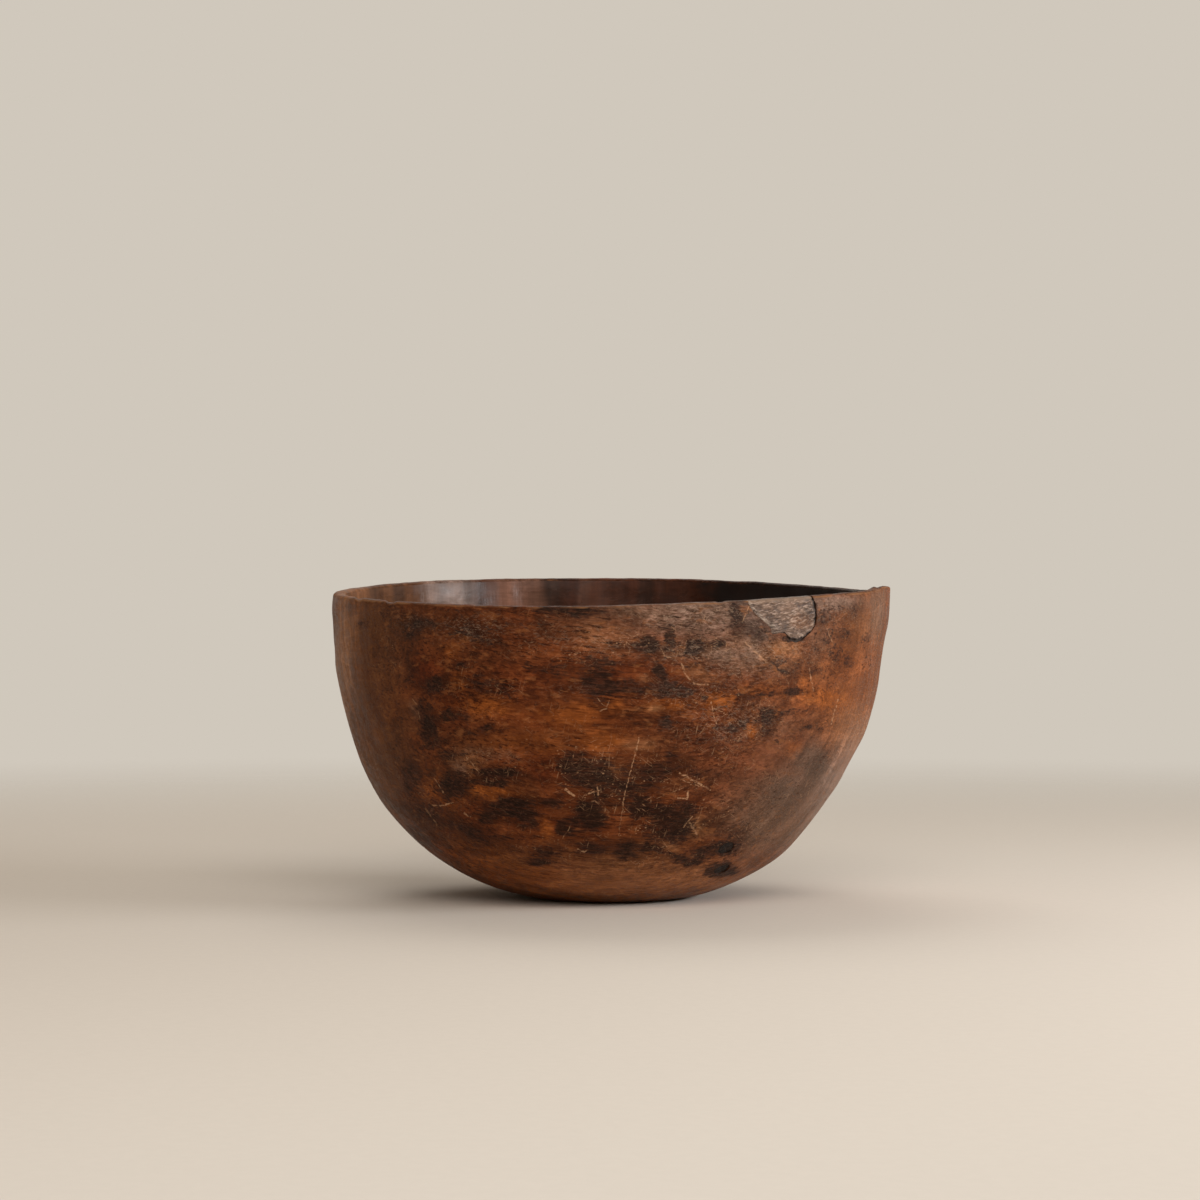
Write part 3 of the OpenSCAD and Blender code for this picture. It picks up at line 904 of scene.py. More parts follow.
def scatteredDabs(seed, count, tones):
    u = unseenSide
    rng = np.random.default_rng(seed)
    dabs = []
    for n in range(count):
        x = u["middle"] + rng.uniform(-u["reach"], u["reach"])
        y = rng.uniform(u["top"], u["foot"])
        if tones:
            kind = u["kinds"][rng.integers(len(u["kinds"]))]
            wide = rng.uniform(18, 60)
            tall = rng.uniform(9, 26)
            dabs.append((x, y, wide, tall, rng.uniform(-10, 16), kind, rng.uniform(0.3, 0.8)))
        else:
            wide = rng.uniform(6, 26)
            tall = wide * rng.uniform(0.25, 0.7)
            dabs.append((x, y, wide, tall, rng.uniform(-12, 18), rng.uniform(0.3, 1.0)))
    return dabs


# how the dabs fray: cells of noise in millimetres, shifts in pixels, shares of a dab's size
brush = {
    "ground": (30.0, 24.0, 13.0),
    "shiftX": 8.0,
    "shiftXCell": 10.0,
    "shiftY": 6.0,
    "shiftYCell": (10.0, 10.0, 8.0),
    "streak": (18.0, 3.4, 2.4),
    "toneFray": 0.15,
    "stainFray": 0.1,
    "edge": 4.2,
    "placeEdge": 0.8,
    "turnCell": 16.0,
    "turnRun": 0.34,
    "nickGlintCell": 38.0,
    "wildCell": (44.0, 44.0, 24.0),
    "endsFrom": 0.62,
    "endsRun": 0.3,
    "wearRows": 3.5,
    "wearCell": 9.0,
    "rimRows": 9.0,
}


# a side's tone and stain over all its points
def paintSide(p, x, y, toneList, stainList, seed):
    b = brush
    x = x + b["shiftX"] * layeredNoise(p / b["shiftXCell"], seed, 3)
    y = y + b["shiftY"] * layeredNoise(p / np.array(b["shiftYCell"]), seed + 3, 3)
    streak = layeredNoise(p / np.array(b["streak"]), seed + 5, 2)
    share = ease(0.62 + 1.2 * layeredNoise(p / np.array(b["ground"]), seed + 9, 3))[..., None]
    tone = linearTone(woodTones["rust"]) * (1 - share) + linearTone(woodTones["umber"]) * share
    for dab in toneList:
        part = dab[6] / (1.0 + np.maximum(dabShare(x, y, dab) - b["toneFray"] * streak, 0.0) ** b["edge"])
        tone = tone + (linearTone(woodTones[dab[5]]) - tone) * part[..., None]
    clear = np.ones(p.shape[:-1])
    for dab in stainList:
        part = dab[5] / (1.0 + np.maximum(dabShare(x, y, dab) - b["stainFray"] * streak, 0.0) ** b["edge"])
        clear = clear * (1.0 - part)
    return tone, 1.0 - clear


wood = skin[:innerRing + 1]
facing = surfaceNormals(skin, True)[:innerRing + 1]
px, py = photoPixel(wood)
qy = photoPixel(wood * np.array([1.0, -1.0, 1.0]))[1]
unrolled = np.arctan2(wood[..., 0], wood[..., 1]) * np.hypot(wood[..., 0], wood[..., 1])
qx = unseenSide["middle"] + unrolled / unseenSide["pixel"]
backTones = scatteredDabs(5, unseenSide["toneCount"], True)
backStains = scatteredDabs(6, unseenSide["stainCount"], False)
frontTone, frontStain = paintSide(wood, px, py, toneDabs, stainDabs, 101)
backTone, backStain = paintSide(wood, qx, qy, backTones, backStains, 201)
ragged = layeredNoise(wood / brush["turnCell"], 207, 3)
frontShare = ease((0.2 + 0.25 * ragged - facing[..., 1]) / brush["turnRun"])


def nearPlaces(places, share):
    for x, y, wide, tall, strength in places:
        near = np.exp(-brush["placeEdge"] * (((px - x) / wide) ** 2 + ((py - y) / tall) ** 2))
        share = np.maximum(share, frontShare * near * strength)
    return share


nickedAndGlinting = layeredNoise(wood / brush["nickGlintCell"], 211, 2)
nickedAndGlinting = nearPlaces(nickGlintPlaces, 0.45 * ease(0.5 + 1.3 * nickedAndGlinting))
wild = layeredNoise(wood / np.array(brush["wildCell"]), 223, 2)
# greyed wood, partly a painted sheen with painted glints
greyed = nearPlaces(greyedSheenPlaces, 0.5 * ease(0.2 + 1.4 * wild) * (1 - frontShare))
lined = nearPlaces(linedPlaces, 0.8 * ease(0.2 - 1.4 * wild) * (1 - frontShare))
smooth = nearPlaces(smoothPlaces, np.zeros(px.shape))


# spreads what was painted on the outside over the whole skin, inside included
def overSkin(values, inside):
    full = np.empty((ringCount,) + values.shape[1:])
    full[:] = inside
    full[:innerRing + 1] = values
    share = within.reshape(within.shape + (1,) * (values.ndim - 2))
    return full * (1 - share) + inside * share


# paint of the inside: darker, paler to the left (partly painted light), with bands and strokes that run up
# the wall; among the bands is a painted highlight, and the back right has painted shade with its stain
hollowPaint = {
    "deepTone": (64, 32, 18),
    "leftLitTone": (128, 84, 54),
    "leftAt": 172.0,
    "leftHalf": 36.0,
    "rightAt": 30.0,
    "rightHalf": 28.0,
    "rightWaver": 14.0,
    "rightShadeStain": 1.1,
    "strokeTurn": 2.2,
    "strokeRun": 80.0,
    "strokeGain": 0.4,
    "cloud": 40.0,
    "cloudGain": 0.5,
    "upperFrom": 92.0,
    "upperRun": 70.0,
    "upperWaver": 26.0,
    "middle": 40.0,
    "middleRun": 80.0,
    "stain": (30.0, 30.0, 18.0),
    "bandWaver": 2.0,
    # heading, half width, tone, share; the pale band at 131 is a painted highlight, and the one at 111 partly
    # one
    "bands": [
        (157, 3.0, (70, 44, 29), 0.6), (147, 2.5, (62, 39, 27), 0.7), (131, 7.0, (142, 118, 106), 0.8),
        (111, 8.0, (120, 83, 66), 0.85), (103, 1.6, (44, 26, 18), 0.7), (96, 1.2, (104, 66, 48), 0.5),
        (92, 4.0, (70, 38, 23), 0.5), (82, 1.8, (38, 22, 14), 0.6),
    ],
}


def paintInside():
    h = hollowPaint
    heads = inHead[0][None] * np.ones((ringCount, 1))
    strokes = [heads / h["strokeTurn"], skin[..., 2] / h["strokeRun"], np.zeros((ringCount, cols))]
    strokes = layeredNoise(np.stack(strokes, -1), 301, 3)
    strokes = strokes * ease((np.hypot(skin[..., 0], skin[..., 1]) - h["middle"]) / h["middleRun"])
    cloud = layeredNoise(skin / h["cloud"], 311, 3)
    # 1 near the rim, 0 from some way down the wall, with an uneven edge
    upper = ease((skin[..., 2] + h["upperWaver"] * cloud - h["upperFrom"]) / h["upperRun"])
    toLeft = ease(1.5 - np.abs(turnFrom(heads, h["leftAt"])) / h["leftHalf"])[..., None]
    deepTone = linearTone(h["deepTone"])
    # paler to the left, most near the rim: partly the wood's tone, partly painted light
    tone = deepTone + (linearTone(h["leftLitTone"]) - deepTone) * toLeft * (0.3 + 0.5 * upper[..., None])
    # bands up the wall near the rim, the pale ones a painted highlight
    for heading, half, bandTone, share in h["bands"]:
        near = ease(1.5 - np.abs(turnFrom(heads, heading) + h["bandWaver"] * cloud) / half)[..., None]
        tone = tone + (linearTone(bandTone) - tone) * near * share * upper[..., None]
    tone = tone * (1 + h["strokeGain"] * strokes + h["cloudGain"] * cloud)[..., None]
    stain = 0.5 * ease(0.1 + 1.2 * layeredNoise(skin / np.array(h["stain"]), 331, 3))
    # the back right is darkened: painted shade as well as stain
    toRight = ease(1.7 - np.abs(turnFrom(heads, h["rightAt"]) + h["rightWaver"] * cloud) / h["rightHalf"])
    return tone, np.maximum(stain, h["rightShadeStain"] * toRight * upper), upper


innerTone, innerStainAndShade, upperWall = paintInside()
tone = overSkin(backTone + (frontTone - backTone) * frontShare[..., None], innerTone)
stain = overSkin(backStain + (frontStain - backStain) * frontShare, innerStainAndShade)
front = overSkin(frontShare, 0.0)
ends = overSkin(ease((np.abs(facing[..., 0]) - brush["endsFrom"]) / brush["endsRun"]), 0.6)

# the rim is worn paler along its outer edge
ringNumber = np.arange(ringCount)[:, None] * np.ones((1, cols))
wear = ease(1 - np.abs(ringNumber - rimRing - 2.0) / brush["wearRows"])
wear = np.clip(wear * (0.55 + 0.45 * layeredNoise(skin / brush["wearCell"], 401, 2)), 0, 1)
nearRim = ease((innerRing + brush["rimRows"] - ringNumber) / brush["rimRows"])


def withMiddles(values):
    flat = values.reshape((-1,) + values.shape[2:])
    return np.concatenate([flat, flat[:1], flat[-1:]])


paintColour(bowl, "bodyTone", withMiddles(tone))
for name, values in (("stain", stain), ("wear", wear), ("front", front), ("ends", ends),
                     ("nickedAndGlinting", overSkin(nickedAndGlinting, 0.0)), ("greyed", overSkin(greyed, 0.0)),
                     ("lined", overSkin(lined, 0.0)), ("smooth", overSkin(smooth, 0.0)),
                     ("nearRim", nearRim), ("upperWall", upperWall)):
    paintValue(bowl, name, withMiddles(values))
print("bowl painted")


# where a place in the photograph lies on the front, in metres
def frontSpot(x, y):
    gap = np.where(facing[..., 1] < 0, (px - x) ** 2 + (py - y) ** 2, 1e9)
    return wood[np.unravel_index(int(np.argmin(gap)), gap.shape)] * millimetre


# node helpers; what feeds a node is made before it, because the order of nodes sets the memory a finish needs
def startFinish(name):
    finish = bpy.data.materials.new(name)
    finish.use_nodes = True
    tree = finish.node_tree
    shader = tree.nodes["Principled BSDF"]
    return finish, tree, shader


def feed(tree, socket, value):
    if isinstance(value, bpy.types.NodeSocket):
        tree.links.new(value, socket)
    else:
        socket.default_value = value


def objectSpot(tree):
    return tree.nodes.new("ShaderNodeTexCoord").outputs["Object"]


def paintedValue(tree, name):
    node = tree.nodes.new("ShaderNodeAttribute")
    node.attribute_name = name
    return node.outputs["Fac"]


def paintedColour(tree, name):
    node = tree.nodes.new("ShaderNodeAttribute")
    node.attribute_name = name
    return node.outputs["Color"]


# the object's own place, in cells of so many millimetres on each axis
def cellSpot(tree, cell, twist=(0, 0, 0), shift=0.0):
    place = tree.nodes.new("ShaderNodeMapping")
    place.vector_type = "TEXTURE"
    place.inputs["Scale"].default_value = [c * millimetre for c in cell]
    place.inputs["Rotation"].default_value = [math.radians(t) for t in twist]
    place.inputs["Location"].default_value = (shift, shift * 0.7, shift * 0.4)
    tree.links.new(objectSpot(tree), place.inputs["Vector"])
    return place.outputs["Vector"]


def grain(tree, cell, detail=3.0, rough=0.55, twist=(0, 0, 0), shift=0.0, swirl=0.0):
    spot = cellSpot(tree, cell, twist, shift)
    node = tree.nodes.new("ShaderNodeTexNoise")
    node.inputs["Scale"].default_value = 1.0
    node.inputs["Detail"].default_value = detail
    node.inputs["Roughness"].default_value = rough
    node.inputs["Distortion"].default_value = swirl
    tree.links.new(spot, node.inputs["Vector"])
    return node.outputs["Fac"]


def spread(tree, value, fromLow, fromHigh, toLow, toHigh):
    node = tree.nodes.new("ShaderNodeMapRange")
    node.interpolation_type = "SMOOTHSTEP"
    feed(tree, node.inputs["Value"], value)
    feed(tree, node.inputs["From Min"], fromLow)
    feed(tree, node.inputs["From Max"], fromHigh)
    feed(tree, node.inputs["To Min"], toLow)
    feed(tree, node.inputs["To Max"], toHigh)
    return node.outputs["Result"]


def sums(tree, kind, a, b):
    node = tree.nodes.new("ShaderNodeMath")
    node.operation = kind
    feed(tree, node.inputs[0], a)
    feed(tree, node.inputs[1], b)
    return node.outputs[0]


def times(tree, a, b):
    return sums(tree, "MULTIPLY", a, b)


def plus(tree, a, b):
    return sums(tree, "ADD", a, b)


def minus(tree, a, b):
    return sums(tree, "SUBTRACT", a, b)


def larger(tree, a, b):
    return sums(tree, "MAXIMUM", a, b)


def mixTone(tree, share, a, b):
    node = tree.nodes.new("ShaderNodeMix")
    node.data_type = "RGBA"
    feed(tree, node.inputs[0], share)
    feed(tree, node.inputs[6], a)
    feed(tree, node.inputs[7], b)
    return node.outputs[2]


def shadeTone(tree, tone, amount):
    node = tree.nodes.new("ShaderNodeVectorMath")
    node.operation = "SCALE"
    feed(tree, node.inputs[0], tone)
    feed(tree, node.inputs["Scale"], amount)
    return node.outputs[0]


# darkens or lightens wood by powers of red, green and blue: its darks turn redder, its lights paler
tonePowers = (0.97, 1.08, 1.2)


def deepen(tree, tone, amount):
    shares = [sums(tree, "POWER", amount, power) for power in tonePowers]
    node = tree.nodes.new("ShaderNodeCombineXYZ")
    for n, share in enumerate(shares):
        feed(tree, node.inputs[n], share)
    return vectorStep(tree, "MULTIPLY", tone, node.outputs[0])


def between(tree, share, a, b):
    node = tree.nodes.new("ShaderNodeMix")
    feed(tree, node.inputs[0], share)
    feed(tree, node.inputs[2], a)
    feed(tree, node.inputs[3], b)
    return node.outputs[0]


def vectorStep(tree, kind, a, b):
    node = tree.nodes.new("ShaderNodeVectorMath")
    node.operation = kind
    feed(tree, node.inputs[0], a)
    feed(tree, node.inputs[1], b)
    return node.outputs["Value" if kind in ("DOT_PRODUCT", "DISTANCE") else "Vector"]


# fine relief from a height, so many millimetres deep
def raiseSurface(tree, shader, height, strength, deep):
    bump = tree.nodes.new("ShaderNodeBump")
    feed(tree, bump.inputs["Strength"], strength)
    bump.inputs["Distance"].default_value = deep * millimetre
    feed(tree, bump.inputs["Height"], height)
    feed(tree, shader.inputs["Normal"], bump.outputs["Normal"])


# one straight scratch between two spots of the front, seen square on
def scratchGroup():
    group = bpy.data.node_groups.new("scratch_line", "ShaderNodeTree")
    wants = {"Spot": "Vector", "From": "Vector", "To": "Vector", "Half": "Float", "Strength": "Float"}
    for name, kind in ((name, "NodeSocket" + kind) for name, kind in wants.items()):
        group.interface.new_socket(name, in_out="INPUT", socket_type=kind)
    group.interface.new_socket("Mark", in_out="OUTPUT", socket_type="NodeSocketFloat")
    given = group.nodes.new("NodeGroupInput").outputs
    result = group.nodes.new("NodeGroupOutput").inputs
    flat = vectorStep(group, "MULTIPLY", given["Spot"], (1.0, 0.0, 1.0))
    run = vectorStep(group, "SUBTRACT", given["To"], given["From"])
    off = vectorStep(group, "SUBTRACT", flat, given["From"])
    reached = vectorStep(group, "DOT_PRODUCT", off, run)
    share = sums(group, "DIVIDE", reached, vectorStep(group, "DOT_PRODUCT", run, run))
    node = group.nodes.new("ShaderNodeClamp")
    group.links.new(share, node.inputs["Value"])
    gap = vectorStep(group, "DISTANCE", off, shadeTone(group, run, node.outputs[0]))
    mark = spread(group, sums(group, "DIVIDE", gap, given["Half"]), 0.45, 1.25, 1.0, 0.0)
    group.links.new(times(group, mark, given["Strength"]), result["Mark"])
    return group


def toneOf(rgb):
    return tuple(linearTone(rgb)) + (1.0,)


# small pale nicks, partly painted glints: cells of so many millimetres, those with a high random value show
def nicksAndGlints(tree, cell, size, share):
    spot = cellSpot(tree, cell)
    node = tree.nodes.new("ShaderNodeTexVoronoi")
    node.inputs["Scale"].default_value = 1.0
    tree.links.new(spot, node.inputs["Vector"])
    dot = spread(tree, node.outputs["Distance"], size * 0.45, size, 1.0, 0.0)
    split = tree.nodes.new("ShaderNodeSeparateColor")
    tree.links.new(node.outputs["Color"], split.inputs[0])
    return times(tree, dot, spread(tree, split.outputs[0], 1.0 - share, 1.0, 0.0, 1.0))


# the carved wood of the bowl: cell sizes in millimetres along the fibre, through the wall and up it
carvedWood = {
    "figure": (30.0, 26.0, 14.0),
    "figureRange": (0.76, 1.24),
    "mottle": (8.0, 7.0, 5.4),
    "mottleRange": (0.74, 1.22),
    "fibre": (14.0, 1.6, 1.3),
    "fibreRange": (0.81, 1.14),
    "streak": (16.0, 2.0, 1.25),
    "streakDark": 0.34,
    "crispDark": 0.24,
    "rings": (260.0, 9.0, 90.0),
    "ringRange": (0.82, 1.14),
    "pore": (6.0, 0.8, 0.7),
    "net": (3.8, 2.2, 1.05),
    "netRange": (0.62, 1.24),
    "spots": (5.0, 4.6, 2.8),
    "worn": (9.0, 8.0, 3.8),
    "lined": (40.0, 36.0, 18.0),
    "crisp": (26.0, 2.6, 1.6),
    "ragged": (12.0, 2.4, 1.5),
    "sootLine": (9.0, 1.3, 1.0),
    "hair": (4.0, 3.6, 0.9),
    "hairTurns": [(-9, 12.1), (38, 21.3), (-44, 27.9)],
    "nickedAndGlinting": (15.0, 15.0, 9.0),
    # cell, shift, gain
    "endLines": [((260.0, 11.0, 70.0), 33.1, 0.28), ((60.0, 60.0, 11.0), 37.7, 0.24)],
    # cell, size, share
    "nicksAndGlints": [((2.3, 2.3, 1.9), 0.27, 0.6), ((5.0, 4.6, 3.6), 0.17, 0.85)],
    # cell, twist, shift
    "hairScratches": [((7.0, 7.0, 0.7), 38, 1.3), ((0.7, 7.0, 8.0), 14, 6.3), ((6.0, 6.0, 0.7), -24, 31.3)],
    "scratchBreak": (2.2, 2.2, 1.8),
    "scratchSway": 260.0,
    "scratchShift": 2.2,
    "scratchPixel": 0.4,
    "amberTone": (154, 96, 56),
    "plumTone": (58, 32, 21),
    "sootTone": (29, 17, 11),
    "slateTone": (50, 39, 34),
    "nickGlintTone": (204, 158, 120),
    "glintTone": (172, 144, 122),
    "wearTone": (138, 96, 64),
    "roughness": 0.46,
    "gloss": 0.08,
    "bump": 0.5,
    "bumpDeep": 0.8,
}


# pale lines laid one way: painted glints of short fibres that stand up, and hair scratches
def hairs(tree, cell, twist, shift, low):
    return spread(tree, grain(tree, cell, 2.0, 0.55, (0, twist, 0), shift, 0.35), low, low + 0.09, 0.0, 1.0)


def scratchMarks(tree):
    c = carvedWood
    group = scratchGroup()
    sway = tree.nodes.new("ShaderNodeTexNoise")
    sway.inputs["Scale"].default_value = c["scratchSway"]
    sway.inputs["Detail"].default_value = 3.0
    tree.links.new(objectSpot(tree), sway.inputs["Vector"])
    spot = vectorStep(tree, "SUBTRACT", sway.outputs["Color"], (0.5, 0.5, 0.5))
    spot = shadeTone(tree, spot, c["scratchShift"] * millimetre)
    spot = vectorStep(tree, "ADD", objectSpot(tree), spot)
    lines = 0.0
    for points, half, strength in scratchLines:
        for a, b in zip(points[:-1], points[1:]):
            node = tree.nodes.new("ShaderNodeGroup")
            node.node_tree = group
            tree.links.new(spot, node.inputs["Spot"])
            for name, end in (("From", frontSpot(*a)), ("To", frontSpot(*b))):
                node.inputs[name].default_value = (end[0], 0.0, end[2])
            node.inputs["Half"].default_value = half * c["scratchPixel"] * millimetre
            node.inputs["Strength"].default_value = strength
            lines = larger(tree, lines, node.outputs["Mark"])
    lines = times(tree, lines, paintedValue(tree, "front"))
    broken = spread(tree, grain(tree, c["scratchBreak"], 3.0, 0.6, shift=14.7), 0.4, 0.58, 0.08, 1.0)
    return times(tree, lines, broken)


def carvedWoodFinish():
    c = carvedWood
    finish, tree, shader = startFinish("carved_wood")
    ends = paintedValue(tree, "ends")
    greyed = paintedValue(tree, "greyed")
    calm = spread(tree, larger(tree, ends, paintedValue(tree, "smooth")), 0.0, 1.0, 1.0, 0.42)
    figure = grain(tree, c["figure"], 8.0, 0.66, shift=0.9, swirl=1.2)
    mottle = grain(tree, c["mottle"], 3.0, 0.56, (0, 8, 0), 9.1, 1.4)
    fibre = grain(tree, c["fibre"], 3.0, 0.6, (0, 5, 0), 0.0, 0.5)
    streak = grain(tree, c["streak"], 3.0, 0.6, (0, 6, 0), 3.1, 0.3)
    rings = grain(tree, c["rings"], 4.0, 0.6, shift=7.7)
    spots = grain(tree, c["spots"], 3.0, 0.55, shift=11.3)
    worn = grain(tree, c["worn"], 4.0, 0.6, (0, 5, 0), 17.1, 0.4)
    # where the dark lines along the fibre lie thick
    lined = spread(tree, grain(tree, c["lined"], 2.0, 0.5, shift=5.9), 0.42, 0.58, 0.2, 1.0)
    light = spread(tree, figure, 0.37, 0.63, *c["figureRange"])
    light = times(tree, light, spread(tree, mottle, 0.38, 0.62, *c["mottleRange"]))
    light = times(tree, light, spread(tree, fibre, 0.39, 0.61, *c["fibreRange"]))
    streak = spread(tree, streak, 0.56, 0.61, 1.0, c["streakDark"])
    light = times(tree, light, between(tree, lined, 1.0, streak))
    crisp = grain(tree, c["crisp"], 2.0, 0.5, (0, 8, 0), 19.7, 0.2)
    crisp = spread(tree, crisp, 0.525, 0.56, 1.0, c["crispDark"])
    light = times(tree, light, between(tree, paintedValue(tree, "lined"), 1.0, crisp))
    light = times(tree, light, spread(tree, spots, 0.6, 0.68, 1.0, 0.66))
    light = between(tree, calm, 1.0, light)
    # greyed wood and painted sheen: a fine net of raised grains, paler and darker
    net = grain(tree, c["net"], 2.5, 0.55, (0, 8, 0), 41.3, 0.6)
    light = times(tree, light, between(tree, greyed, 1.0, spread(tree, net, 0.36, 0.64, *c["netRange"])))
    light = times(tree, light, spread(tree, rings, 0.38, 0.62, *c["ringRange"]))
    # thin pale lines up the wall and along it, at the two ends
    for cell, shift, gain in c["endLines"]:
        line = sums(tree, "ABSOLUTE", minus(tree, grain(tree, cell, 2.0, 0.5, shift=shift), 0.5), 0.0)
        line = times(tree, spread(tree, line, 0.0, 0.045, gain, 0.0), ends)
        light = times(tree, light, plus(tree, line, 1.0))
    light = times(tree, light, spread(tree, paintedValue(tree, "stain"), 0.05, 0.9, 1.0, 0.6))
    tone = deepen(tree, paintedColour(tree, "bodyTone"), light)
    # worn amber places
    rubbed = times(tree, spread(tree, worn, 0.55, 0.7, 0.0, 0.45), calm)
    tone = mixTone(tree, rubbed, tone, toneOf(c["amberTone"]))
    # stains with edges broken along the fibre, and lines in them
    ragged = grain(tree, c["ragged"], 4.0, 0.66, (0, 5, 0), 5.3, 0.3)
    level = plus(tree, times(tree, ragged, 1.6), times(tree, mottle, 1.4))
    level = plus(tree, paintedValue(tree, "stain"), minus(tree, level, 1.52))
    black = spread(tree, level, 0.5, 0.95, 0.0, 1.0)
    soot = mixTone(tree, black, toneOf(c["plumTone"]), toneOf(c["sootTone"]))
    soot = mixTone(tree, times(tree, greyed, 0.8), soot, toneOf(c["slateTone"]))
    sootLine = grain(tree, c["sootLine"], 3.0, 0.6, (0, 4, 0), 8.8, 0.3)
    soot = shadeTone(tree, soot, spread(tree, sootLine, 0.4, 0.62, 0.7, 2.1))
    tone = mixTone(tree, spread(tree, level, 0.36, 0.66, 0.0, 0.88), tone, soot)
    # open pores along the fibre
    pores = grain(tree, c["pore"], 2.0, 0.5, (0, 5, 0), 2.2)
    tone = shadeTone(tree, tone, spread(tree, pores, 0.6, 0.7, 1.0, 0.7))
    # painted glints of greyed fibres that stand up
    glint = spread(tree, net, 0.57, 0.66, 0.0, 1.0)
    for twist, shift in c["hairTurns"]:
        glint = larger(tree, glint, hairs(tree, c["hair"], twist, shift, 0.61))
    glint = times(tree, glint, greyed)
    tone = mixTone(tree, times(tree, glint, 0.42), tone, toneOf(c["glintTone"]))
    # pale nicks, partly painted glints, and hair scratches where the bowl was handled most, and the scratches
    # read one by one
    patches = spread(tree, grain(tree, c["nickedAndGlinting"], 2.0, 0.5, shift=23.3), 0.42, 0.62, 0.15, 1.0)
    nickedAndGlinting = times(tree, paintedValue(tree, "nickedAndGlinting"), patches)
    marksAndGlints = larger(tree, *[nicksAndGlints(tree, *kind) for kind in c["nicksAndGlints"]])
    for cell, twist, shift in c["hairScratches"]:
        marksAndGlints = larger(tree, marksAndGlints, times(tree, hairs(tree, cell, twist, shift, 0.63), 0.75))
    marksAndGlints = times(tree, marksAndGlints, nickedAndGlinting)
    marksAndGlints = larger(tree, times(tree, marksAndGlints, 0.85), scratchMarks(tree))
    # pale nicks and scratches, with painted glints among them
    tone = mixTone(tree, times(tree, marksAndGlints, 0.85), tone, toneOf(c["nickGlintTone"]))
    edge = plus(tree, paintedValue(tree, "wear"), times(tree, ragged, 0.5))
    tone = mixTone(tree, spread(tree, edge, 0.55, 1.0, 0.0, 0.8), tone, toneOf(c["wearTone"]))
    feed(tree, shader.inputs["Base Color"], tone)
    polish = spread(tree, mottle, 0.36, 0.64, c["roughness"] - 0.08, c["roughness"] + 0.1)
    polish = plus(tree, polish, times(tree, paintedValue(tree, "wear"), 0.3))
    feed(tree, shader.inputs["Roughness"], plus(tree, polish, times(tree, marksAndGlints, 0.2)))
    # height of fibre, pores and nicks
    height = times(tree, fibre, 0.7)
    height = minus(tree, height, spread(tree, pores, 0.58, 0.68, 0.0, 0.5))
    height = minus(tree, height, times(tree, marksAndGlints, 0.35))
    height = plus(tree, height, times(tree, mottle, 0.45))
    height = plus(tree, height, times(tree, glint, 0.6))
    raiseSurface(tree, shader, height, c["bump"], c["bumpDeep"])
    shader.inputs["Specular IOR Level"].default_value = c["gloss"]
    return finish


# the inside is rubbed smooth and shines more
hollowWood = {
    "streak": (5.0, 5.0, 60.0),
    "streakRange": (0.88, 1.08),
    "cloud": (26.0, 26.0, 16.0),
    "cloudRange": (0.8, 1.16),
    "sootTone": (13, 6, 3),
    "wearTone": (142, 101, 70),
    "facet": (17.0, 17.0, 46.0),
    "fine": (9.0, 9.0, 1.6),
    "roughness": 0.25,
    "rimRough": 0.14,
    "lowRough": 0.2,
    "gloss": 0.18,
    "bump": 1.0,
    "lowBump": 0.35,
    "bumpDeep": 2.4,
}


def hollowWoodFinish():
    c = hollowWood
    finish, tree, shader = startFinish("hollow_wood")
    streak = grain(tree, c["streak"], 4.0, 0.6, shift=4.1)
    cloud = grain(tree, c["cloud"], 5.0, 0.6, shift=6.7, swirl=0.5)
    fine = grain(tree, c["fine"], 3.0, 0.6, shift=2.9)
    light = spread(tree, streak, 0.38, 0.62, *c["streakRange"])
    light = times(tree, light, spread(tree, cloud, 0.38, 0.62, *c["cloudRange"]))
    light = times(tree, light, spread(tree, fine, 0.38, 0.62, 0.9, 1.08))
    tone = deepen(tree, paintedColour(tree, "bodyTone"), light)
    # stains, and the painted shade of the back right, darken towards soot
    level = minus(tree, times(tree, cloud, 1.6), 0.8)
    level = plus(tree, paintedValue(tree, "stain"), level)
    tone = mixTone(tree, spread(tree, level, 0.2, 0.8, 0.0, 0.9), tone, toneOf(c["sootTone"]))
    edge = plus(tree, paintedValue(tree, "wear"), times(tree, fine, 0.5))
    tone = mixTone(tree, spread(tree, edge, 0.55, 1.0, 0.0, 0.8), tone, toneOf(c["wearTone"]))
    feed(tree, shader.inputs["Base Color"], tone)
    polish = spread(tree, cloud, 0.36, 0.64, c["roughness"] - 0.05, c["roughness"] + 0.09)
    polish = plus(tree, polish, times(tree, paintedValue(tree, "nearRim"), c["rimRough"]))
    upper = paintedValue(tree, "upperWall")
    polish = plus(tree, polish, spread(tree, upper, 0.0, 1.0, c["lowRough"], 0.0))
    feed(tree, shader.inputs["Roughness"], polish)
    facet = grain(tree, c["facet"], 1.0, 0.4, shift=15.5)
    height = plus(tree, facet, times(tree, plus(tree, cloud, streak), 0.1))
    raiseSurface(tree, shader, height, spread(tree, upper, 0.0, 1.0, c["lowBump"], c["bump"]), c["bumpDeep"])
    shader.inputs["Specular IOR Level"].default_value = c["gloss"]
    return finish


bowl.data.materials.append(carvedWoodFinish())
bowl.data.materials.append(hollowWoodFinish())
rowOfFace = np.concatenate([k, np.zeros(len(notchQuads)), np.zeros(cols), np.full(cols, ringCount)])
bowl.data.polygons.foreach_set("material_index", (rowOfFace >= innerRing).astype(np.int32))
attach(bowl, "root")
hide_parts("bowl_body")
print("carved wood on the bowl")


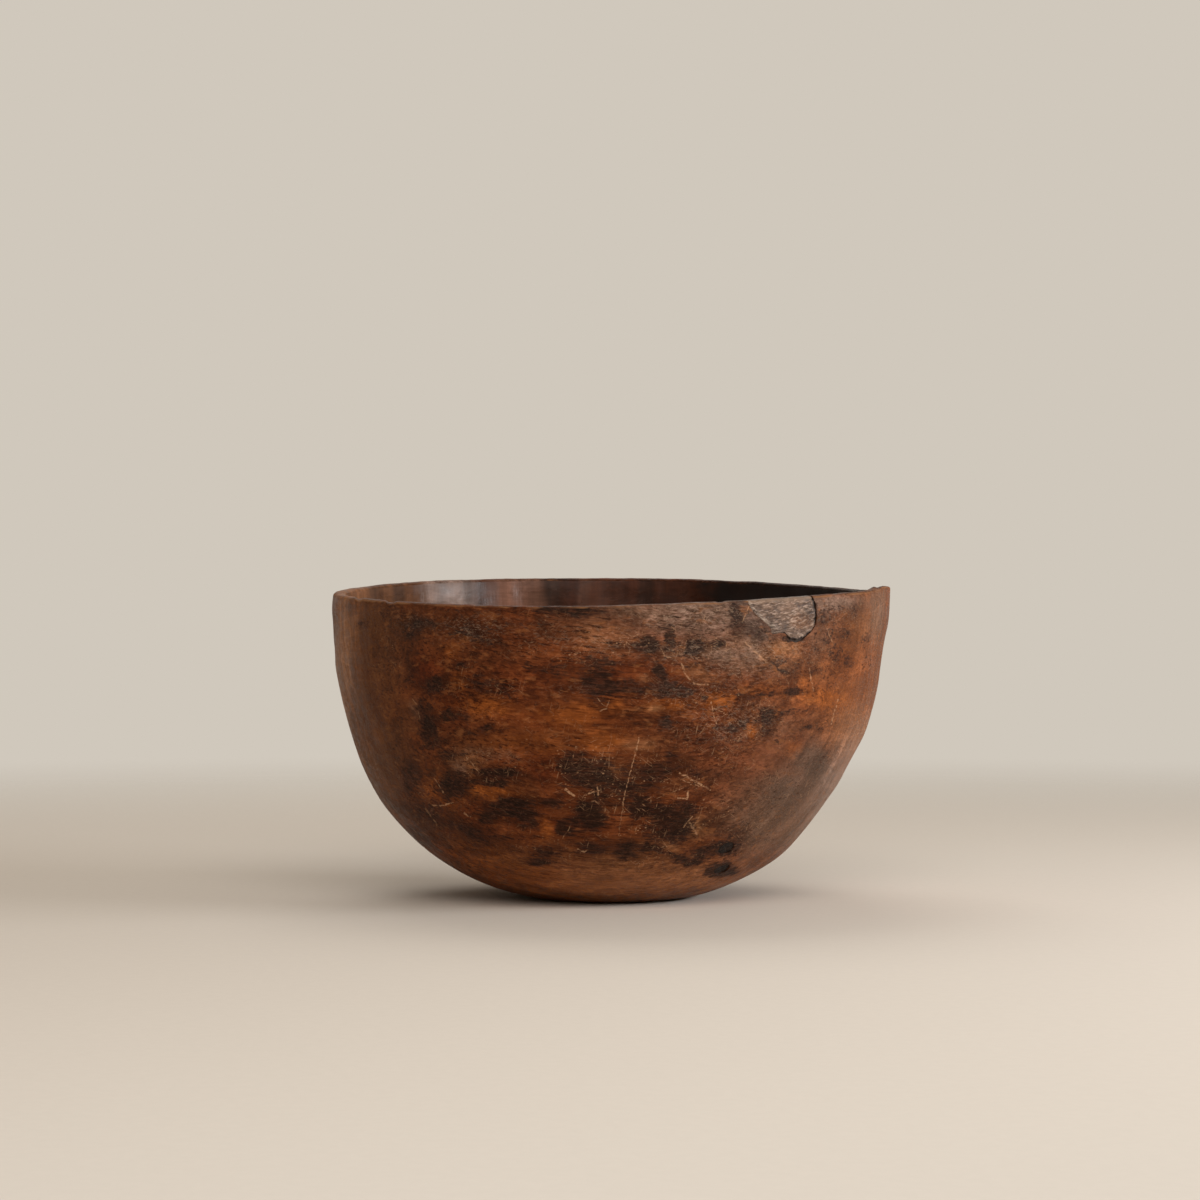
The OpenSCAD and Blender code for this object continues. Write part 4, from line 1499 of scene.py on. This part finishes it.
# a solid block of rows, outside from its foot up, over the rim and down the inside
def blockPiece(name, rows):
    count, wide = rows.shape[:2]
    k, i = [v.ravel() for v in np.meshgrid(np.arange(count - 1), np.arange(wide - 1), indexing="ij")]
    faces = np.stack([k * wide + i, k * wide + i + 1, (k + 1) * wide + i + 1, (k + 1) * wide + i], -1)
    c = np.arange(wide - 1)
    top = (count - 1) * wide
    foot = np.stack([top + c, top + c + 1, c + 1, c], -1)
    m = np.arange((count - 2) // 2)
    cheek = np.stack([m, m + 1, count - 2 - m, count - 1 - m], -1)
    quads = np.concatenate([faces, foot, cheek * wide, (cheek * wide + wide - 1)[:, ::-1]])
    u0, v0 = i / (wide - 1) * 0.96 + 0.01, k / (count - 1) * 0.94 + 0.01
    u1, v1 = (i + 1) / (wide - 1) * 0.96 + 0.01, (k + 1) / (count - 1) * 0.94 + 0.01
    uv = cornerUV(u0, v0, u1, v1)
    extra = spareUV(len(quads) - len(faces), 190, 200, 0.01, 0.965, 0.012)
    none = np.zeros((0, 3), dtype=int)
    return makePiece(name, rows.reshape(-1, 3), quads, none, np.concatenate([uv, extra]), np.zeros((0, 3, 2)))


def patchFace(inner):
    left, bottom, right = patchSides(0)
    b = np.linspace(0.0, 1.0, rimPatch["down"])[:, None]
    a = np.linspace(0.0, 1.0, rimPatch["across"])[None]
    l, r = along(left, b[:, 0])[:, None], along(right, b[:, 0])[:, None]
    f = along(bottom, a[0])[None]
    a3, b3 = a[..., None], b[..., None]
    foot = f[:, :1] * (1 - a3) + f[:, -1:] * a3
    mixed = l * (1 - a3) + r * a3 + (f - foot) * b3
    heading, angle = placeOnWall(mixed[..., 0], mixed[..., 1], inner)
    angle[0] = rowAngles(inner, 1.0, 0.0)[0]
    return wallPoint(heading, angle, inner)


rimRows = bowlBody["rimRows"]
patchOut, patchIn = patchFace(False), patchFace(True)
patchRows = np.concatenate([patchOut[::-1], rimEdge(patchOut[0], patchIn[0], rimRows), patchIn])
patchRow = np.arange(len(patchRows))[:, None] * np.ones((1, rimPatch["across"]))
patchWithin = ease((patchRow - rimPatch["down"] + 1) / (rimRows + 1.0))
patchSkin = dressSkin(patchRows, surfaceNormals(patchRows, False), patchWithin)
patchPoints = seatPoints(patchSkin)
patch = blockPiece("rim_patch_skin", patchPoints)

patchWood = {
    "tone": (116, 90, 73),
    "pale": (168, 144, 127),
    "dark": (80, 59, 46),
    "warm": (110, 72, 44),
    "ridgeHighlight": (184, 164, 148),
    "inside": (70, 45, 31),
    "pitchy": (44, 31, 24),
    "worn": (156, 130, 108),
    "fibre": (9.0, 3.0, 1.3),
    "net": (5.0, 2.4, 1.1),
    "cloud": (10.0, 9.0, 6.0),
    "shade": (16.0, 12.0, 8.0),
    "roughness": 0.46,
    "gloss": 0.3,
    "bump": 0.8,
    "bumpDeep": 0.7,
    # places in the photograph: the ends of the raised edge, which carries a painted highlight, and a warm
    # spot with its halves
    "ridges": [(747, 599, 755, 612), (755, 612, 774, 627)],
    "ridgeHalf": 1.6,
    "warmSpot": (803, 621, 12, 8),
    # rows of wear at the rim, and shares of the patch that the pitch has darkened
    "wearRows": 4.0,
    "lowEdge": 0.07,
    "sideEdge": 0.045,
}


def paintPatch():
    c = patchWood
    x, y = photoPixel(patchPoints)
    ridgeHighlight = np.zeros(x.shape)
    for x0, y0, x1, y1 in c["ridges"]:
        runX, runY = x1 - x0, y1 - y0
        s = np.clip(((x - x0) * runX + (y - y0) * runY) / (runX ** 2 + runY ** 2), 0, 1)
        gap = np.hypot(x - x0 - s * runX, y - y0 - s * runY)
        ridgeHighlight = np.maximum(ridgeHighlight, ease(1.5 - gap / c["ridgeHalf"]))
    spotX, spotY, wide, tall = c["warmSpot"]
    warm = ease(1.5 - np.hypot((x - spotX) / wide, (y - spotY) / tall))
    down = np.linspace(1, 0, rimPatch["down"])
    overSide = np.concatenate([down, np.zeros(rimRows), down[::-1]])[:, None]
    overAcross = np.linspace(0, 1, rimPatch["across"])[None]
    lowEdge = ease(1 - (1 - overSide) / c["lowEdge"]) * ease((overAcross - 0.3) / 0.2)
    sideEdge = ease(1 - (1 - overAcross) / c["sideEdge"]) * np.ones(x.shape)
    paintValue(patch, "wear", ease(1 - np.abs(patchRow - rimPatch["down"] - 1.0) / c["wearRows"]))
    paintValue(patch, "within", patchWithin)
    paintValue(patch, "ridgeHighlight", ridgeHighlight * (1 - patchWithin))
    paintValue(patch, "byPitch", np.maximum(sideEdge, lowEdge))
    paintValue(patch, "warm", warm * (1 - patchWithin))


def patchWoodFinish():
    c = patchWood
    finish, tree, shader = startFinish("patch_wood")
    fibre = grain(tree, c["fibre"], 3.0, 0.6, (0, -12, 0), 2.5, 0.8)
    net = grain(tree, c["net"], 2.5, 0.55, (0, -6, 0), 4.5, 0.7)
    cloud = grain(tree, c["cloud"], 4.0, 0.62, shift=8.5)
    tone = mixTone(tree, spread(tree, cloud, 0.34, 0.62, 0.0, 1.0), toneOf(c["dark"]), toneOf(c["tone"]))
    tone = mixTone(tree, times(tree, paintedValue(tree, "warm"), 0.85), tone, toneOf(c["warm"]))
    tone = mixTone(tree, spread(tree, fibre, 0.46, 0.66, 0.0, 0.6), tone, toneOf(c["pale"]))
    crackle = plus(tree, times(tree, net, 0.65), times(tree, fibre, 0.35))
    tone = deepen(tree, tone, spread(tree, crackle, 0.38, 0.62, 0.58, 1.28))
    # a painted highlight along the raised edge
    ridgeHighlight = times(tree, paintedValue(tree, "ridgeHighlight"), spread(tree, crackle, 0.42, 0.6, 0.05, 1.0))
    tone = mixTone(tree, times(tree, ridgeHighlight, 0.8), tone, toneOf(c["ridgeHighlight"]))
    tone = mixTone(tree, times(tree, paintedValue(tree, "within"), 0.9), tone, toneOf(c["inside"]))
    shade = grain(tree, c["shade"], 3.0, 0.6, shift=13.1)
    tone = shadeTone(tree, tone, spread(tree, shade, 0.38, 0.6, 0.72, 1.08))
    edge = plus(tree, paintedValue(tree, "byPitch"), minus(tree, cloud, 0.5))
    tone = mixTone(tree, spread(tree, edge, 0.3, 0.9, 0.0, 0.85), tone, toneOf(c["pitchy"]))
    tone = mixTone(tree, times(tree, paintedValue(tree, "wear"), 0.45), tone, toneOf(c["worn"]))
    feed(tree, shader.inputs["Base Color"], tone)
    polish = spread(tree, cloud, 0.3, 0.7, c["roughness"] - 0.06, c["roughness"] + 0.1)
    feed(tree, shader.inputs["Roughness"], polish)
    height = plus(tree, plus(tree, fibre, crackle), times(tree, ridgeHighlight, 0.6))
    raiseSurface(tree, shader, height, c["bump"], c["bumpDeep"])
    shader.inputs["Specular IOR Level"].default_value = c["gloss"]
    return finish


paintPatch()
patch.data.materials.append(patchWoodFinish())
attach(patch, "root")
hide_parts("rim_patch")
print("rim patch let in")

# the pitch round the patch, sunk a little below the wood
seamPitch = {
    "sink": 0.5,
    "along": 260,
    "across": 5,
    "skinDip": 0.12,
    "hollow": 0.35,
    "lump": 0.25,
    "lumpCell": 4.0,
    "shutRun": 0.12,
    "shutFor": 2.6,
    "tone": (24, 17, 13),
    "brown": (56, 38, 27),
    "dust": (96, 76, 62),
    "grit": (2.6, 2.6, 2.2),
    "film": (7.0, 7.0, 5.0),
    "roughness": 0.66,
    "gloss": 0.25,
    "bump": 0.6,
    "bumpDeep": 0.6,
}


# 0 along the left, where the seam has closed, and 1 where it stands open
def openShare(count):
    return ease(np.linspace(0.0, 1.0, count) / seamPitch["shutRun"] - seamPitch["shutFor"])


def seamPoints(grow, inner):
    left, bottom, right = patchSides(grow)
    third = seamPitch["along"] // 3
    s = np.linspace(0.0, 1.0, third)
    line = np.concatenate([along(left, s), along(bottom, s[1:]), along(right, s[::-1][1:])])
    heading, angle = placeOnWall(line[:, 0], line[:, 1], inner)
    return wallPoint(heading, angle, inner)


def buildPitch():
    p = seamPitch
    across = np.linspace(0.0, 1.0, p["across"])[:, None, None]
    faces = []
    for inner in (False, True):
        edge = seamPoints(1, inner)
        patchEdge = seamPoints(0, inner)
        strip = edge[None] * (1 - across) + patchEdge[None] * across
        out = strip - np.array([0, 0, strip[..., 2].mean()])
        out[..., 2] = 0
        out = out / np.linalg.norm(out, axis=-1, keepdims=True)
        lump = p["lump"] * layeredNoise(strip / p["lumpCell"], 601, 2)
        wide = openShare(strip.shape[1])
        hollow = p["hollow"] * np.sin(np.pi * across[..., 0])
        dip = p["skinDip"] + p["sink"] * wide + (hollow + lump) * (0.3 + 0.7 * wide)
        strip = strip - (1 - 2 * inner) * out * dip[..., None]
        faces.append(strip if not inner else strip[::-1])
    loop = np.concatenate(faces).transpose(1, 0, 2)
    count, size = loop.shape[:2]
    k, i = [v.ravel() for v in np.meshgrid(np.arange(count - 1), np.arange(size), indexing="ij")]
    j = (i + 1) % size
    quads = np.stack([k * size + i, (k + 1) * size + i, (k + 1) * size + j, k * size + j], -1)
    u0, v0, u1, v1 = k / count, i / size, (k + 0.9) / count, (i + 0.9) / size
    uv = cornerUV(u0, v0, u1, v1)
    caps = []
    for at, turn in ((0, 1), (count - 1, -1)):
        ring = np.arange(size) + at * size
        for n in range(p["across"] - 1):
            caps.append([ring[n], ring[n + 1], ring[size - 2 - n], ring[size - 1 - n]][::turn])
    caps = np.array(caps)
    low, high = 0.996, 0.999
    capUV = np.array([[low, low], [high, low], [high, high], [low, high]])[None] * np.ones((len(caps), 1, 1))
    none = np.zeros((0, 3), dtype=int)
    points = seatPoints(loop.reshape(-1, 3))
    piece = makePiece("seam_pitch_skin", points, np.concatenate([quads, caps]), none,
                      np.concatenate([uv, capUV]), np.zeros((0, 3, 2)))
    paintValue(piece, "dusty", (1 - openShare(count))[:, None] * np.ones((1, size)))
    return piece


def pitchFinish():
    c = seamPitch
    finish, tree, shader = startFinish("pitch")
    lumps = grain(tree, c["grit"], 3.0, 0.6)
    dust = grain(tree, c["film"], 2.0, 0.5, shift=3.3)
    tone = mixTone(tree, spread(tree, dust, 0.45, 0.7, 0.0, 0.8), toneOf(c["tone"]), toneOf(c["brown"]))
    old = times(tree, paintedValue(tree, "dusty"), spread(tree, lumps, 0.3, 0.6, 0.55, 0.95))
    tone = mixTone(tree, old, tone, toneOf(c["dust"]))
    feed(tree, shader.inputs["Base Color"], tone)
    shader.inputs["Specular IOR Level"].default_value = c["gloss"]
    polish = spread(tree, lumps, 0.3, 0.7, c["roughness"] - 0.1, c["roughness"] + 0.15)
    feed(tree, shader.inputs["Roughness"], polish)
    raiseSurface(tree, shader, lumps, c["bump"], c["bumpDeep"])
    return finish


pitch = buildPitch()
pitch.data.materials.append(pitchFinish())
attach(pitch, "root")
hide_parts("seam_pitch")
print("pitch in the seam")


# a knot as a shrunken plug with a cracked, slightly domed end
def buildKnot(name, knot, seed):
    k = deadKnots
    spot, across, out = knotPlace(knot)
    up = np.cross(out, across)
    turns, steps = k["turns"], k["steps"]
    angle = 2 * np.pi * np.arange(turns) / turns
    rng = np.random.default_rng(seed)
    lobes = 0.06 * np.cos(2 * angle + rng.uniform(0, 6)) + 0.04 * np.cos(5 * angle + rng.uniform(0, 6))
    half = (k["wide"] / 2 - k["gap"]) * (1 - 0.5 * np.abs(lobes))
    around = np.cos(angle)[:, None] * across + np.sin(angle)[:, None] * up
    rows = []
    for s in (np.arange(steps) + 1) / steps:
        crack = 0.0
        for deep, turn, wide in k["cracks"]:
            crack = crack + deep * np.exp(-((np.cos(angle - turn) * s) / wide) ** 2)
        grow = k["ringHigh"] * np.sin(s * k["rings"])
        high = -k["sink"] - k["edgeDrop"] * s ** 5 - crack + grow - (s * half) ** 2 / k["dome"]
        rows.append(spot + s * half[:, None] * around + high[:, None] * out)
    tip = k["tipWide"] / k["wide"]
    for s in (0.3, 0.65, 1.0):
        flat = half[:, None] * (1 + (tip - 1) * s) * around
        rows.append(spot + flat - (1.2 + (k["deep"] - 1.6) * s) * out)
    rows = np.array(rows)
    count = len(rows)
    points = np.concatenate([rows.reshape(-1, 3), [spot - (k["sink"] + 0.15) * out], [rows[-1].mean(0)]])
    r, i = [v.ravel() for v in np.meshgrid(np.arange(count - 1), np.arange(turns), indexing="ij")]
    j = (i + 1) % turns
    quads = np.stack([r * turns + i, (r + 1) * turns + i, (r + 1) * turns + j, r * turns + j], -1)
    c = np.arange(turns)
    n = (c + 1) % turns
    face = np.stack([np.full(turns, count * turns), c, n], -1)
    tail = np.stack([(count - 1) * turns + n, (count - 1) * turns + c, np.full(turns, count * turns + 1)], -1)
    radius = (np.arange(count) + 1) / (count + 1) * 0.49

    def disc(row, col):
        return np.stack([0.5 + radius[row] * np.cos(angle[col]), 0.5 + radius[row] * np.sin(angle[col])], -1)

    uv = np.stack([disc(r, i), disc(r + 1, i), disc(r + 1, j), disc(r, j)], 1)
    zero = np.zeros(turns, dtype=int)
    middle = np.full((turns, 2), 0.5)
    faceUV = np.stack([middle, disc(zero, c), disc(zero, n)], 1)
    tailUV = np.stack([disc(zero + count - 1, n), disc(zero + count - 1, c), disc(zero + count - 1, c)], 1)
    tris = np.concatenate([face, tail])
    return makePiece(name, seatPoints(points), quads, tris, uv, np.concatenate([faceUV, tailUV]))


def knotFinish():
    c = deadKnots
    finish, tree, shader = startFinish("dead_knot")
    rays = grain(tree, c["ray"], 4.0, 0.6)
    cloud = grain(tree, c["cloud"], 2.0, 0.5, shift=2.9)
    tone = mixTone(tree, spread(tree, rays, 0.35, 0.7, 0.0, 1.0), toneOf(c["black"]), toneOf(c["brown"]))
    tone = mixTone(tree, spread(tree, cloud, 0.55, 0.75, 0.0, 0.4), tone, toneOf(c["dust"]))
    shader.inputs["Specular IOR Level"].default_value = c["gloss"]
    feed(tree, shader.inputs["Base Color"], tone)
    feed(tree, shader.inputs["Roughness"], spread(tree, rays, 0.3, 0.7, 0.5, 0.68))
    raiseSurface(tree, shader, rays, c["bump"], c["bumpDeep"])
    return finish


knotWood = knotFinish()
for name, seed in (("upper", 71), ("lower", 83)):
    knot = buildKnot(name + "_knot_plug", deadKnots[name], seed)
    knot.data.materials.append(knotWood)
    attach(knot, "root")
    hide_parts(name + "_knot")
print("knots set")

# pale floor that runs out into a pale room, and soft studio light
studio = {
    "floorTone": (226, 219, 210),
    "roomTone": (208, 200, 188),
    "leftLight": (0.13, 0.1, 0.072, 1.0),
    "rightLight": (0.36, 0.31, 0.25, 1.0),
    "speckTone": (0.5, 0.47, 0.43, 1.0),
    "specks": (6.0, 6.0, 6.0),
    "floorReach": 2.6,
    "floorTurns": 96,
    "floorDrop": 0.0004,
    "floorRough": 0.85,
    "floorGloss": 0.2,
    "fadeFrom": 0.45,
    "fadeTo": 0.8,
    "aimHeight": 0.1,
    "lamps": {
        "key_lamp": {"watts": 15.5, "from": (1.5, -0.4, 0.52),
                     "size": (0.95, 0.2), "tint": (0.97, 0.98, 1.0)},
        "fill_lamp": {"watts": 24.0, "from": (0.2, -1.9, 1.3),
                      "size": (1.5, 1.5), "tint": (1.0, 0.945, 0.88)},
        "back_lamp": {"watts": 14.0, "from": (-0.3, 1.3, 2.0),
                      "size": (1.4, 1.4), "tint": (1.0, 0.95, 0.88)},
    },
}


def buildFloor():
    reach = studio["floorReach"]
    turns = studio["floorTurns"]
    drop = studio["floorDrop"]
    points = [(0.0, 0.0, -drop)]
    faces = []
    for n in range(turns):
        a = 2 * math.pi * n / turns
        points.append((reach * math.cos(a), reach * math.sin(a), -drop))
        faces.append((0, n + 1, (n + 1) % turns + 1))
    mesh = bpy.data.meshes.new("studio_floor")
    mesh.from_pydata(points, [], faces)
    floor = bpy.data.objects.new("studio_floor", mesh)
    scene.collection.objects.link(floor)
    finish, tree, shader = startFinish("floor_plaster")
    shader.inputs["Roughness"].default_value = studio["floorRough"]
    shader.inputs["Specular IOR Level"].default_value = studio["floorGloss"]
    specks = spread(tree, grain(tree, studio["specks"], 3.0, 0.6), 0.3, 0.7, 0.0, 0.05)
    pale = mixTone(tree, specks, toneOf(studio["floorTone"]), studio["speckTone"])
    feed(tree, shader.inputs["Base Color"], pale)
    away = tree.nodes.new("ShaderNodeVectorMath")
    away.operation = "LENGTH"
    tree.links.new(objectSpot(tree), away.inputs[0])
    shown = spread(tree, away.outputs["Value"], studio["fadeFrom"], reach * studio["fadeTo"], 1.0, 0.0)
    feed(tree, shader.inputs["Alpha"], shown)
    mesh.materials.append(finish)
    return floor


buildFloor()

room = bpy.data.worlds.new("studio_room")
scene.world = room
room.use_nodes = True
tree = room.node_tree
back = tree.nodes["Background"]
path = tree.nodes.new("ShaderNodeLightPath")
seen = larger(tree, path.outputs["Is Camera Ray"], path.outputs["Is Transmission Ray"])
seen = larger(tree, seen, path.outputs["Is Glossy Ray"])
split = tree.nodes.new("ShaderNodeSeparateXYZ")
tree.links.new(tree.nodes.new("ShaderNodeTexCoord").outputs["Generated"], split.inputs[0])
toRight = spread(tree, split.outputs[0], -1.0, 1.0, 0.0, 1.0)
glow = mixTone(tree, toRight, studio["leftLight"], studio["rightLight"])
feed(tree, back.inputs["Color"], mixTone(tree, seen, glow, toneOf(studio["roomTone"])))

for name, lamp in studio["lamps"].items():
    light = bpy.data.lights.new(name, "AREA")
    light.energy = lamp["watts"]
    light.shape = "RECTANGLE"
    light.size, light.size_y = lamp["size"]
    light.color = lamp["tint"]
    holder = bpy.data.objects.new(name, light)
    holder.location = lamp["from"]
    x, y, z = lamp["from"]
    tip = math.atan2(math.hypot(x, y), z - studio["aimHeight"])
    holder.rotation_euler = (tip, 0.0, math.atan2(x, -y))
    scene.collection.objects.link(holder)

lens = bpy.data.cameras.new("photo_camera")
lens.sensor_fit = "HORIZONTAL"
lens.sensor_width = photoView["sensor"]
lens.lens = photoView["focal"] / photoView["image"] * photoView["sensor"]
lens.clip_end = photoView["farthest"]
camera = bpy.data.objects.new("photo_camera", lens)
camera.location = [photoView[axis] * millimetre for axis in "xyz"]
camera.rotation_euler = (math.radians(90.0 + photoView["pitch"]), 0.0, 0.0)
scene.collection.objects.link(camera)
scene.camera = camera
print("studio ready")
